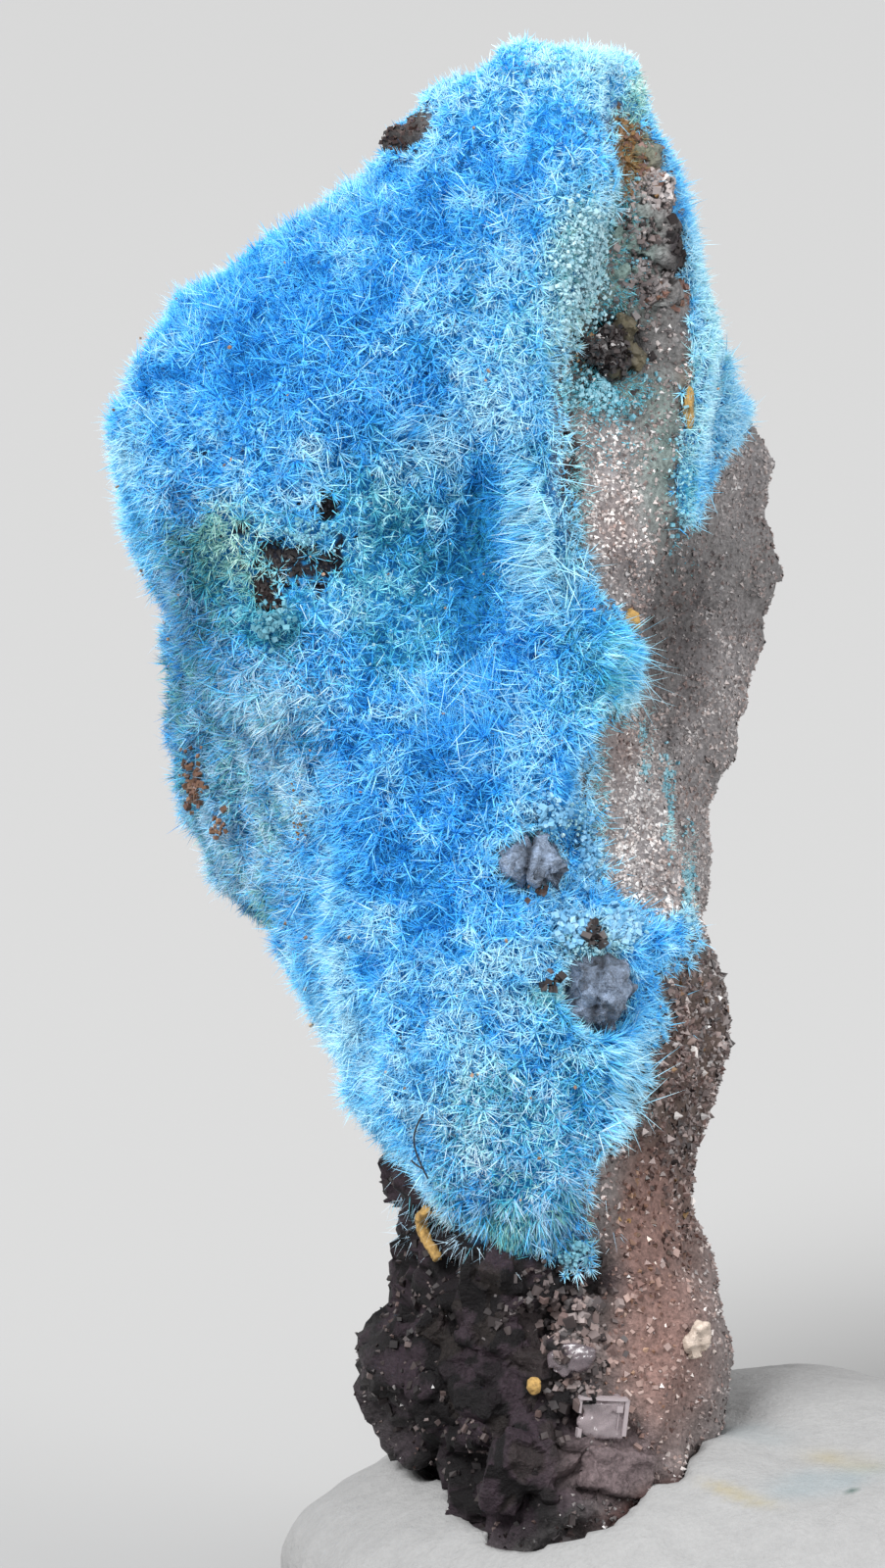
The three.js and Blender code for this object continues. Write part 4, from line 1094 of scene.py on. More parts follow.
def speckled_finish(name, roughness, base, kind_colours, speckles, specular=None):
    """Speckles are rows of grain size, strength and depth of bump, 0 for none."""
    material, tree, shader = new_material(name, roughness, specular=specular)
    colour = base
    for kind, kind_colour in kind_colours.items():
        colour = mix_colour(tree, number(tree, kind), colour, kind_colour)
    for grain, strength, depth_mm in speckles:
        colour, height = speckled(tree, colour, grain, strength)
        if depth_mm:
            bumped(tree, shader, height, depth_mm)
    tree.links.new(colour, shader.inputs["Base Color"])
    return material


# %% [markdown]
# The rock is the first of them. Each kind has its own colour, the low blocks of rubble and the rock
# in the felt's holes are painted darker as shade, and rock under the felt is blue, so that no grey
# shows between the needles.

# %% The rock's finish
ROCK_COLOURS = {
    "brown": looks(92, 78, 72), "sugar": looks(152, 147, 148), "rosy": looks(134, 106, 99),
    "ochre": looks(122, 98, 58), "verdigris": looks(120, 150, 144), "dark": looks(9, 5, 8),
    "lit facet": looks(64, 51, 60), "slab": looks(112, 98, 100), "contact shadow": looks(66, 40, 36),
    "gap": looks(44, 38, 36), "under felt": light(32, 128, 188), "pit": looks(28, 30, 42),
}
rock_finish = speckled_finish("quartz rock", 0.6, looks(126, 123, 123), ROCK_COLOURS,
                              [(0.07, 0.5, 0.05)], specular=0.2)
finish_piece(rock_piece, rock_finish, "matrix", "matrix_rock")

# %% [markdown]
# ## Quartz sugar
# The rock is a mass of tiny quartz crystals. Noise alone gives no glints, so where the crystals
# show singly they are set out one by one, as small pyramids whose feet are sunk in the rock. Their
# palette runs from dark to pale across the map, and from grey through rosy to ochre up it.

# %% Grains as small pyramids
def put_grain_map(piece, triangles, pale, hue, corner_map):
    """Each grain's paleness and hue, spread a little over its own corners."""
    spots = np.clip(np.stack([pale, hue], axis=1), PALETTE_EDGE, 1 - PALETTE_EDGE)
    across, upward = (spots[:, None] + corner_map).reshape(-1, 2).T
    put_map(piece, triangles, across, upward)


def crystal_tips(name, place, normal, radius, pale, hue, dice):
    """Small uneven pyramids: four faces that meet in a tip."""
    count = len(place)
    heading = unit(normal + dice.normal(0, 0.45, place.shape))
    a, b = side_ways(heading)
    corners = []
    for k in range(4):
        angle = (math.pi * k / 2 + dice.uniform(-0.4, 0.4, count))[:, None]
        wide = (radius * dice.uniform(0.75, 1.3, count))[:, None]
        corners.append(place + wide * (a * np.cos(angle) + b * np.sin(angle)) - 0.4 * wide * heading)
    tip = place + heading * (radius * dice.uniform(0.5, 1.2, count))[:, None]
    points = np.stack([*corners, tip], axis=1).reshape(-1, 3)
    first = 5 * np.arange(count)[:, None, None]
    triangles = (first + np.array([[0, 1, 4], [1, 2, 4], [2, 3, 4], [3, 0, 4]])).reshape(-1, 3)
    piece = make_piece(name, points, triangles, smooth=False)
    corner_map = np.array([(-0.01, -0.01), (0.01, -0.01), (0.01, 0.01), (-0.01, 0.01), (0.0, 0.0)])
    put_grain_map(piece, triangles, pale, hue, corner_map)
    return piece


# %% [markdown]
# The grains cover the bare rock above the putty, most of all where it is sugary. They are coarser
# on the brown flank and paler at its dusty edge, and fewer where the rock is glassy.

# %% Quartz sugar
GRAINS = 27500
DUSTY_EDGE = [
    ("right flank's edge", 0.85, 6.9, 0.3, 1.5, 0, 1.0), ("foot's right edge", 0.75, 3.0, 0.3, 1.2, 0, 0.6),
]
GLASSY_SIDE = [("upper panel's right side", 0.2, 13.5, 0.3, 1.0, 0, 1.0)]
PUTTY_TOP = 2.4
weight = bare * (1 - 0.95 * kinds["dark"]) * (1 - 0.6 * kinds["rosy"]) * (rock[0][:, 2] > PUTTY_TOP)
weight *= (1 + 2 * kinds["sugar"] + 0.7 * kinds["brown"]) * (1 - 0.7 * rubble)
weight *= 1 - 0.65 * np.clip(patch_strength(rock_uvw, GLASSY_SIDE), 0, 1)
place, normal, near = scatter(rock, weight, GRAINS, rng)
here = {kind: values[near] for kind, values in kinds.items()}
behind = np.clip((to_stone(place)[:, 2] - 1.6) / 1.0, 0, 1)
coarse = np.clip(here["brown"] + 0.35 * here["rosy"], 0, 1) * (1 - behind)
dusty_edge = patch_strength(to_stone(place), DUSTY_EDGE)
glassy_side = patch_strength(to_stone(place), GLASSY_SIDE)
# Paleness by kind of rock, then by chance: some bright grains, partly painted glints, and on the
# brown flank duller ones with a rare painted glint
pale = 0.48 + 0.24 * here["sugar"] - 0.4 * here["dark"] - 0.1 * here["brown"] - 0.06 * here["rosy"]
pale += rng.normal(0, 0.12, len(place)) * (1 - 0.5 * behind) + 0.1 * lumps(place, 0.4, 10)
pale += (rng.random(len(place)) < 0.08) * 0.28 * (1 - 0.7 * behind)
pale += (rng.random(len(place)) < 0.02 * coarse) * 0.4 + coarse * rng.normal(-0.12, 0.07, len(place))
pale += 0.12 * dusty_edge - 0.12 * glassy_side
# Hue by kind of rock, with a few ochre grains
hue = 0.12 + 0.38 * here["rosy"] + 0.12 * here["brown"] + 0.6 * here["ochre"]
hue += 0.1 * lumps(place, 0.7, 19) + rng.normal(0, 0.08, len(place))
hue += 0.6 * (rng.random(len(place)) < 0.012 * coarse) - 0.12 * dusty_edge
radius = rng.uniform(0.02, 0.046, len(place)) * (1 + 1.0 * coarse * rng.random(len(place)))
sugar_piece = crystal_tips("quartz_sugar", place, normal, radius, pale, hue, rng)
print(f"{GRAINS} grains, {1000 * radius.min():.0f} to {1000 * radius.max():.0f} micrometres in radius")

# %% [markdown]
# The grains share three palettes, which the second number of their map blends. Glassy grains are
# smooth and glint. Chips of dull rock use the same palettes with a rougher surface.

# %% Grain finish
GRAIN_PALETTES = [
    [(0.0, 20, 17, 20), (0.35, 106, 102, 103), (0.65, 166, 163, 164), (1.0, 255, 255, 255)],
    [(0.0, 40, 28, 27), (0.35, 130, 98, 90), (0.65, 184, 154, 144), (1.0, 255, 240, 232)],
    [(0.0, 50, 34, 18), (0.35, 128, 96, 52), (0.65, 190, 150, 92), (1.0, 245, 220, 170)],
]


def clamped(tree, value):
    node = tree.nodes.new("ShaderNodeClamp")
    tree.links.new(value, node.inputs[0])
    return node.outputs[0]


def grain_material(name, roughness, specular=None):
    """Grey, rosy and ochre palettes, one after the other up the map."""
    material, tree, shader = new_material(name, roughness, specular=specular)
    across, upward = map_axes(tree)
    grey, rosy, ochre = (ramp(tree, stops_as(looks, rows), across) for rows in GRAIN_PALETTES)
    low_share = clamped(tree, maths(tree, "MULTIPLY", upward, 2.0))
    high_share = clamped(tree, maths(tree, "MULTIPLY_ADD", upward, 2.0, -1.0))
    colour = mix_colour(tree, high_share, mix_colour(tree, low_share, grey, rosy), ochre)
    tree.links.new(colour, shader.inputs["Base Color"])
    return material


grain_finish = grain_material("quartz grain", 0.25)
chip_finish = grain_material("dull chip", 0.55, specular=0.25)
finish_piece(sugar_piece, grain_finish, "matrix")

# %% [markdown]
# ## Broken chips
# The dark foot, the bare window near the crown and the black patch carry loose-looking angular
# bits. Modelling each by hand would take days. A small box knocked out of true and half sunk in
# the rock looks the same at this size.

# %% Small boxes knocked out of true
BOX_POINTS = np.array([(x, y, z) for x in (-1, 1) for y in (-1, 1) for z in (-1, 1)], float) / 2
BOX_FACES = np.array([
    [0, 1, 3], [0, 3, 2], [4, 6, 7], [4, 7, 5], [0, 4, 5], [0, 5, 1],
    [2, 3, 7], [2, 7, 6], [0, 2, 6], [0, 6, 4], [1, 5, 7], [1, 7, 3],
])


def knocked_boxes(place, normal, size, dice):
    """Points and triangles of small boxes that are turned and knocked out of true."""
    count = len(place)
    x = unit(normal + dice.normal(0, 0.5, place.shape))
    y, z = side_ways(x)
    spin = dice.uniform(0, 2 * math.pi, count)[:, None]
    y, z = y * np.cos(spin) + z * np.sin(spin), z * np.cos(spin) - y * np.sin(spin)
    turned = np.stack([x, y, z], axis=1)
    shape = BOX_POINTS[None] * dice.uniform(0.5, 1.3, (count, 1, 3)) * size[:, None, None]
    shape = shape * dice.uniform(0.75, 1.1, (count, 8, 1))
    points = np.einsum("nkd,nde->nke", shape, turned) + place[:, None]
    triangles = (8 * np.arange(count)[:, None, None] + BOX_FACES).reshape(-1, 3)
    return points.reshape(-1, 3), triangles


def chip_mesh(name, place, normal, size, pale, hue, dice):
    """A piece of knocked boxes with a paleness and a hue each."""
    points, triangles = knocked_boxes(place, normal, size, dice)
    piece = make_piece(name, points, triangles, smooth=False)
    put_grain_map(piece, triangles, pale, hue, 0.02 * BOX_POINTS[:, :2])
    return piece


# %% [markdown]
# A table says where how many chips lie, and how large, pale and brown they are. One helper walks
# through such a table. The rubble, crumbs, granules, specks and sprinkled needles below use it too.

# %% Broken chips
# u, v, radii, how many, smallest and largest size, paleness, hue
CHIPS = [
    ("left foot", -2.6, 2.9, 1.0, 1.9, 160, 0.04, 0.12, 0.0, 0.1),
    ("front foot", -1.5, 1.4, 0.8, 1.5, 160, 0.04, 0.12, 0.02, 0.1),
    ("ledges under the felt", -1.4, 2.9, 0.8, 0.8, 340, 0.03, 0.12, 0.16, 0.1),
    ("beside the clear flake", -1.0, 2.4, 0.4, 0.3, 60, 0.03, 0.1, 0.35, 0.1),
    ("glassy grey bits", -0.9, 2.7, 0.4, 0.6, 170, 0.04, 0.13, 0.4, 0.2),
    ("grey bits, left foot", -2.6, 2.4, 0.7, 0.9, 150, 0.03, 0.09, 0.22, 0.12),
    ("grey bits, front foot", -1.7, 1.7, 0.6, 0.6, 110, 0.03, 0.09, 0.2, 0.12),
    ("pale dust on the ledges", -1.3, 2.8, 0.9, 0.7, 50, 0.015, 0.035, 0.55, 0.2),
    ("window, grey block", 0.0, 16.4, 0.34, 0.5, 560, 0.03, 0.12, 0.4, 0.04),
    ("window, whitish block", 0.12, 17.25, 0.26, 0.28, 360, 0.03, 0.11, 0.55, 0.12),
    ("window, brown", 0.12, 17.85, 0.25, 0.4, 360, 0.03, 0.1, 0.25, 0.55),
    ("window's head", -0.25, 17.8, 0.14, 0.4, 220, 0.03, 0.08, 0.32, 0.9),
    ("window's dark joint", 0.05, 16.85, 0.4, 0.07, 90, 0.03, 0.08, 0.03, 0.1),
    ("ochre knob", 0.13, 17.3, 0.05, 0.06, 26, 0.03, 0.07, 0.5, 0.9),
    # Black chips paint the shadow spots among the window's rubble
    ("black spots", 0.46, 16.57, 0.13, 0.35, 170, 0.05, 0.13, 0.0, 0.1),
    # Black chips in the pits, here and by the knot, add to the holes' painted shade
    ("in the pits", -4.5, 12.5, 0.6, 0.25, 200, 0.03, 0.08, 0.0, 0.02),
    ("brown crumbs in the felt", -4.86, 12.14, 0.12, 0.14, 70, 0.03, 0.09, 0.03, 0.15),
    ("pit by the knot", -4.08, 13.27, 0.2, 0.2, 60, 0.03, 0.07, 0.0, 0.05),
    ("brown spots by the rim", 0.3, 15.95, 0.25, 0.15, 60, 0.04, 0.1, 0.3, 0.55),
    ("crystal patch", -0.55, 15.25, 0.36, 0.34, 300, 0.03, 0.1, 0.03, 0.1),
    ("ochre round the patch", -0.85, 15.2, 0.3, 0.4, 90, 0.02, 0.06, 0.45, 0.8),
    # Dark chips on the panel's edge add to its painted shadow
    ("panel's dark edge", -1.0, 13.6, 0.1, 0.55, 90, 0.03, 0.09, 0.1, 0.2),
    ("between the knobs", -0.66, 7.9, 0.12, 0.14, 30, 0.05, 0.12, 0.2, 0.1),
    ("nick in the shoulder", -3.2, 18.0, 0.3, 0.35, 120, 0.03, 0.09, 0.05, 0.4),
    ("rosy foot", 0.1, 2.6, 0.6, 1.2, 90, 0.03, 0.1, 0.5, 0.4),
]


def places_by_table(surface, uvw, mask, table, dice):
    """Random places in each row's oval: place, normal, how many, and the row's other columns."""
    for name, u, v, wide, high, count, *others in table:
        patch = patch_strength(uvw, [(name, u, v, wide, high, 0, 1.0)])
        place, normal, _ = scatter(surface, patch * mask, count, dice)
        yield place, normal, count, others


facing = on_front(rock[2])
parts = []
chip_ground = facing * (0.1 + 0.9 * bare)
for place, normal, count, row in places_by_table(rock, rock_uvw, chip_ground, CHIPS, rng):
    small, large, chip_pale, chip_hue = row
    size = rng.uniform(small, large, count)
    pale = chip_pale + rng.normal(0, 0.05, count) + 0.3 * chip_pale * lumps(place, 0.25, 29)
    parts.append((place, normal, size, pale, chip_hue + rng.normal(0, 0.05, count)))
finish_piece(chip_mesh("broken_chips", *joined(parts), rng), chip_finish, "matrix")

# %% [markdown]
# ## Rubble
# Larger lumps stand out of the rock: crumbly ones in the window near the crown, blocky dark ones at
# the foot. Loose boxes would look like a heap of bricks. So they are fused into one skin by
# remeshing, crumbled by noise, and coloured by the rock's own finish.

# %% Rubble
# Name, cell of the skin, crumbling, rows of u, v, radii, how many, smallest and largest size
LUMPS = [
    ("window_rubble", 0.035, 0.05, [
        (0.0, 16.4, 0.3, 0.45, 30, 0.16, 0.4), (0.15, 17.2, 0.25, 0.3, 22, 0.14, 0.34),
        (0.15, 17.8, 0.22, 0.35, 22, 0.12, 0.3), (0.35, 16.0, 0.15, 0.2, 8, 0.1, 0.25),
    ]),
    ("dark_ledges", 0.065, 0.035, [
        (-2.15, 2.5, 0.55, 0.9, 36, 0.3, 0.75), (-1.4, 1.7, 0.6, 0.7, 34, 0.3, 0.7),
        (-1.5, 2.7, 0.8, 0.4, 24, 0.25, 0.6),
    ]),
]
# The ledges leave the clear crystals free
CRYSTAL_GROUND = [
    ("square crystal", -0.6, 1.75, 0.85, 0.75, 0, 1.6), ("clear flake", -0.95, 2.55, 0.6, 0.55, 0, 1.6),
]
free_ground = np.clip(1 - patch_strength(rock_uvw, CRYSTAL_GROUND), 0, 1)
rubble_ground = facing * bare * free_ground
rubble_skins = {}


def rock_numbers(piece, points):
    """The rock's kinds at a piece's points, for the rock's finish."""
    for kind, values in kinds_at(to_stone(points), 1.0).items():
        add_number(piece, kind, values)


for name, cell, crumbling, table in LUMPS:
    parts = []
    rows = [(name, *row) for row in table]
    for place, normal, count, (small, large) in places_by_table(rock, rock_uvw, rubble_ground, rows, rng):
        size = rng.uniform(small, large, count)
        parts.append((place - 0.25 * size[:, None] * normal, normal, size))
    points, triangles, normals = even_skin(*knocked_boxes(*joined(parts), rng), cell, rounds=1)
    rough = crumbling * (0.4 * lumps(points, 5 * cell, 30) + 1.3 * blocks(points, 6 * cell, 31)
                         + 0.4 * lumps(points, 2.2 * cell, 32))
    rubble_piece = make_piece(name, points + normals * rough[:, None], triangles, smooth=False)
    rock_numbers(rubble_piece, points)
    # Painted shade: the low blocks of each rubble piece are darker
    add_number(rubble_piece, "gap", np.clip(-3 * blocks(points, 6 * cell, 31), 0, 0.7))
    finish_piece(rubble_piece, rock_finish, "matrix")
    rubble_skins[name] = (points, triangles, normals)

# %% [markdown]
# One larger grey slab lies flat against the foot, just above the putty. It is a single box, set
# where the viewer's line meets the rock and turned to lie along it, then made uneven like the rest.

# %% The grey slab by the putty
# u and v of its middle, its three sizes and its turn in degrees
SLAB_AT, SLAB_SIZES, SLAB_TURN = (-0.44, 1.04), (1.0, 0.56, 0.5), -14
# w of a plane in front of the whole stone
IN_FRONT = -20.0


def seen_at(tree, u, v):
    """Where the viewer's line at u, v meets a surface, and the surface's normal there."""
    start = from_stone([[u, v, IN_FRONT]])[0]
    place, normal = tree.ray_cast(start.tolist(), STONE_AXES[2].tolist())[:2]
    return np.array(place), np.array(normal)


slab_middle, slab_normal = seen_at(rock_tree, *SLAB_AT)
slab_out = unit(unit(slab_normal) - STONE_AXES[2])
slab_x = unit(np.cross(STONE_AXES[1], slab_out))
slab_y = np.cross(slab_out, slab_x)
c, s = math.cos(math.radians(SLAB_TURN)), math.sin(math.radians(SLAB_TURN))
slab_axes = np.array([c * slab_x + s * slab_y, c * slab_y - s * slab_x, slab_out])
corners = (BOX_POINTS * SLAB_SIZES * rng.uniform(0.8, 1.05, (8, 1))) @ slab_axes + slab_middle
points, faces, normals = even_skin(corners, BOX_FACES, cell=0.035, rounds=2)
rough = 0.05 * blocks(points, 0.3, 37) + 0.02 * lumps(points, 0.1, 38)
slab_piece = make_piece("grey_slab", points + normals * rough[:, None], faces)
rock_numbers(slab_piece, points)
finish_piece(slab_piece, rock_finish, "matrix")

# %% [markdown]
# The window's rubble is crumbly. Small chips over it, in the colours of each block, break up its
# smooth skin.

# %% Crumbs on the window's rubble
# u, v, radii, how many, smallest and largest size, paleness, hue
CRUMBS = [
    ("grey block", 0.0, 16.4, 0.34, 0.5, 700, 0.02, 0.08, 0.48, 0.06),
    ("whitish block", 0.12, 17.25, 0.28, 0.3, 560, 0.02, 0.08, 0.62, 0.12),
    ("brown", 0.15, 17.85, 0.25, 0.4, 420, 0.02, 0.08, 0.36, 0.5),
    ("ochre knob", 0.13, 17.3, 0.05, 0.06, 30, 0.03, 0.06, 0.5, 0.9),
    # Black crumbs add to the painted shadow spots
    ("black spots", 0.42, 16.6, 0.12, 0.32, 200, 0.05, 0.12, 0.0, 0.1),
    ("dark joint", 0.0, 16.85, 0.4, 0.05, 60, 0.03, 0.07, 0.03, 0.1),
    ("ochre brown", -0.2, 17.8, 0.15, 0.4, 120, 0.03, 0.07, 0.35, 0.9),
]
window_skin = rubble_skins["window_rubble"]
window_uvw = to_stone(window_skin[0])
parts = []
for place, normal, count, row in places_by_table(window_skin, window_uvw, 1.0, CRUMBS, rng):
    small, large, crumb_pale, crumb_hue = row
    pale = crumb_pale * (1 + 0.4 * lumps(place, 0.2, 33)) + rng.normal(0, 0.06, count)
    size = rng.uniform(small, large, count)
    parts.append((place, normal, size, pale, crumb_hue + rng.normal(0, 0.06, count)))
finish_piece(chip_mesh("window_crumbs", *joined(parts), rng), chip_finish, "matrix")

# %% [markdown]
# ## Turquoise granules and felt clods
# In a few places the blue mineral is not felt but turquoise crumbs, and round the grey knobs it
# sits in pale clods. At this size a crumb is a chip again, only with a blue palette.

# %% Turquoise granules
# u, v, radii, how many, smallest and largest size, paleness
GRANULES = [
    ("over the upper panel", -0.5, 14.72, 0.42, 0.25, 420, 0.02, 0.06, 0.55),
    ("knob blocks", -0.6, 7.75, 0.4, 0.2, 200, 0.02, 0.05, 0.65),
    ("beside the knob gap", -0.95, 9.3, 0.3, 0.2, 80, 0.02, 0.04, 0.6),
    ("below the pits", -4.8, 11.76, 0.2, 0.15, 70, 0.03, 0.07, 0.25),
    ("between the pits", -4.35, 12.93, 0.22, 0.12, 60, 0.02, 0.05, 0.35),
    ("tongue tip", -0.9, 3.75, 0.12, 0.08, 60, 0.03, 0.06, 0.45),
    ("beside the window", -0.75, 16.2, 0.36, 0.9, 640, 0.02, 0.06, 0.75),
    ("in the window", -0.1, 16.7, 0.25, 0.6, 90, 0.02, 0.04, 0.3),
    ("middle hollow", -3.2, 12.6, 0.8, 1.0, 80, 0.015, 0.035, 0.6),
    ("rim of the panel", 0.5, 13.4, 0.12, 0.9, 260, 0.02, 0.05, 0.5),
    ("low rim, top", 0.0, 10.2, 0.06, 0.4, 180, 0.02, 0.06, 0.6),
    ("low rim", 0.3, 9.4, 0.06, 0.5, 260, 0.02, 0.06, 0.6),
    ("low rim, foot", 0.58, 8.5, 0.07, 0.5, 300, 0.02, 0.06, 0.6),
]
# Pale blue clods of felt round the knobs, in the same columns
CLODS = [
    ("above the lower knob", -0.95, 7.95, 0.22, 0.14, 110, 0.03, 0.1, 0.5),
    ("right of the gap", -0.35, 7.95, 0.18, 0.16, 110, 0.03, 0.1, 0.55),
    ("above the upper knob", -1.25, 9.4, 0.25, 0.1, 60, 0.03, 0.08, 0.5),
    ("right of the upper knob", -0.72, 8.9, 0.1, 0.35, 70, 0.03, 0.08, 0.4),
]


def granules(name, table, finish):
    """Blue crumbs on the front of the skin."""
    parts = []
    for place, normal, count, row in places_by_table(skin, skin_uvw, skin_facing, table, rng):
        small, large, tint = row
        size = rng.uniform(small, large, count)
        tints = tint + rng.normal(0, 0.09, count)
        parts.append((place, normal, size, tints, rng.uniform(0.4, 0.7, count)))
    made = chip_mesh(name, *joined(parts), rng)
    finish_piece(made, needle_finishes[finish], "cyanotrichite")


granules("turquoise_granules", GRANULES, "turquoise crumb")
granules("felt_clods", CLODS, "felt clod")

# %% [markdown]
# ## Sprinkled needles
# The felt's border isn't sharp: single needles are sprinkled over the bare rock beside it, and a
# thin veil of them hangs over the dark ledge. They are made like the felt's needles, but each table
# has its own colour and each of its rows a greatest length.

# %% Needles sprinkled over bare rock
# u, v, radii, how many, tint, longest, how much they hang down
TEAL_SPRINKLES = [
    ("over the upper panel", -0.55, 14.7, 0.5, 0.35, 1300, 0.5, 0.16, 0.0),
    ("crystal patch", -0.75, 15.2, 0.35, 0.5, 500, 0.4, 0.16, 0.0),
    ("window's left side", -0.35, 16.5, 0.35, 0.9, 1500, 0.45, 0.16, 0.0),
    ("in the window", 0.0, 16.9, 0.3, 0.5, 120, 0.4, 0.1, 0.0),
    ("rim of the panel", 0.5, 13.6, 0.15, 1.0, 900, 0.55, 0.13, 0.0),
    ("low rim, top", 0.0, 10.2, 0.06, 0.4, 200, 1.0, 0.14, 0.0),
    ("low rim", 0.3, 9.4, 0.06, 0.5, 320, 1.0, 0.14, 0.0),
    ("low rim, foot", 0.58, 8.5, 0.07, 0.5, 320, 1.0, 0.14, 0.0),
    ("panel's head", -0.5, 14.0, 0.5, 0.3, 260, 0.6, 0.13, 0.0),
    ("below the bulge", -0.4, 10.6, 0.3, 0.2, 260, 0.6, 0.18, 0.3),
    ("over the dark ledge", -2.0, 4.2, 1.1, 0.3, 60, 0.7, 0.36, 1.2),
    ("border of the upper panel", -0.92, 13.2, 0.1, 1.2, 700, 0.8, 0.2, 0.0),
    ("border of the middle panel", -0.66, 9.6, 0.1, 1.3, 450, 0.8, 0.2, 0.0),
    ("border low on the right", -0.1, 6.7, 0.15, 1.0, 400, 0.7, 0.2, 0.0),
]
AZURE_SPRINKLES = [
    ("around the upper knob", -1.3, 8.75, 0.65, 0.5, 1500, 0.75, 0.28, 0.0),
    ("around the lower knob", -0.75, 7.1, 0.75, 0.55, 1500, 0.75, 0.28, 0.0),
    ("on the clods", -0.65, 7.95, 0.5, 0.18, 1500, 0.6, 0.4, 0.0),
    ("over the upper knob", -1.15, 9.35, 0.4, 0.15, 700, 0.6, 0.36, 0.0),
]
GREEN_SPRINKLES = [
    ("crest by the window", -0.1, 18.2, 0.2, 0.5, 500, 0.5, 0.2, 0.0),
    ("window's left side", -0.3, 16.8, 0.3, 1.0, 700, 0.5, 0.14, 0.0),
    ("round the crystal patch", -0.75, 15.3, 0.4, 0.5, 400, 0.5, 0.12, 0.0),
    ("panel's right side", 0.3, 14.2, 0.3, 0.7, 300, 0.6, 0.1, 0.0),
]
DUSTY_SPRINKLES = [
    ("veil on the dark ledge", -2.0, 4.1, 1.2, 0.35, 520, 0.75, 0.36, 1.2),
]
OCHRE_HAIRS = [
    ("window's head", -0.12, 17.8, 0.15, 0.35, 420, 0.5, 0.24, 0.5),
    ("low in the window", 0.25, 15.95, 0.2, 0.12, 80, 0.4, 0.12, 0.0),
]
# Where needles hang like a veil they are finer, by this factor
VEIL_WIDTH = 0.55


def sprinkled(name, table, finish, slot):
    """Single needles rooted on the front of the rock."""
    parts = []
    for place, normal, count, (tint, longest, hang) in places_by_table(rock, rock_uvw, facing, table, rng):
        heading = unit(normal + rng.normal(0, 0.6, place.shape) - hang * STONE_AXES[1])
        reach = longest * rng.uniform(0.4, 1.0, count)
        width = np.full(count, NEEDLE_WIDTH * (VEIL_WIDTH if hang > 1 else 1.0))
        parts.append((place - 0.03 * normal, heading, reach, tint + rng.normal(0, 0.15, count), width))
    finish_piece(needle_mesh(name, *joined(parts), rng), needle_finishes[finish], slot)


sprinkled("azure_sprinkle", AZURE_SPRINKLES, "azure needle", "cyanotrichite")
sprinkled("teal_sprinkle", TEAL_SPRINKLES, "teal needle", "cyanotrichite")
sprinkled("green_sprinkle", GREEN_SPRINKLES, "olive green needle", "cyanotrichite")
sprinkled("dusty_veil", DUSTY_SPRINKLES, "dusty blue needle", "cyanotrichite")
sprinkled("ochre_hairs", OCHRE_HAIRS, "ochre hair", "ochre")

# %% [markdown]
# ## Grey knobs
# Two worn grains of grey quartz stick out through the felt. Each packed knob is remeshed finely,
# gets flats broken off it as a worn grain has them, and is parted by a crack. The crack is a number
# on the mesh as well, so that the finish can paint shade into it. Darker gaps between its blocks are
# added to the same number.

# %% Grey knobs
def knocked_flat(points, dice, flats, depth):
    """A lump with flats broken off it: no point reaches past any of the flats."""
    middle = points.mean(axis=0)
    for away in unit(dice.normal(0, 1, (flats, 3))):
        reach = (points - middle) @ away
        past = np.maximum(reach - reach.max() * (1 - dice.uniform(0.3, 1.0) * depth), 0)
        points = points - past[:, None] * away
    return points


# The crack colour paints shade into the knobs' cracks, and darkens the gaps between their blocks
knob_finish = speckled_finish("grey quartz", 0.4, looks(140, 157, 182), {"crack": looks(36, 40, 52)},
                              [(0.22, 0.8, 0), (0.05, 0.45, 0.08)])
# Name, how deep its blocks are parted, depth and u of the crack between its blocks
for name, parted, crack_depth, crack_u in (("grey_quartz_knob_upper", 0.11, 1.0, -1.5),
                                           ("grey_quartz_knob_lower", 0.08, 0.35, -0.62)):
    points, faces, normals = fine_skin([name], cell=0.03, rounds=1)
    points = knocked_flat(points, rng, flats=9, depth=0.28)
    from_crack = to_stone(points)[:, 0] - crack_u + 0.09 * lumps(points, 0.25, 36)
    crack = crack_depth * np.exp(-(from_crack / 0.045) ** 2)
    gaps = np.clip(-2.4 * blocks(points, 0.3, 35) - 0.5, 0, 1)
    worn = parted * blocks(points, 0.4, 11) + 0.05 * blocks(points, 0.17, 35)
    worn += 0.035 * lumps(points, 0.13, 12) - 0.13 * crack
    piece = make_piece(name + "_worn", points + normals * worn[:, None], faces)
    # The crack's number carries painted shade, with darker gaps between the blocks
    add_number(piece, "crack", np.clip(0.9 * crack + 0.6 * gaps, 0, 1))
    finish_piece(piece, knob_finish, "grey_quartz", name)

# %% [markdown]
# ## Black crystals
# The black patch is a crowd of tiny cubes with a brownish border. The imported cluster, remeshed and
# roughened, is its body, and a few hundred separate grains on the front give it its glints. A few of
# them are painted pale as glints.

# %% Black crystals
points, faces, normals = fine_skin(["black_crystal_cluster"], cell=0.04, rounds=1)
points = points + normals * (0.04 * blocks(points, 0.12, 26))[:, None]
patch_middle = to_stone(points).mean(axis=0) - np.array([0.18, 0, 0])


def border_share(places):
    """0 on the black heart of the patch, 1 on its brownish border."""
    off = to_stone(places) - patch_middle
    from_heart = np.hypot(off[:, 0] / 0.36, off[:, 1] / 0.4) + 0.3 * lumps(places, 0.2, 34)
    return np.clip((from_heart - 0.8) / 0.3, 0, 1)


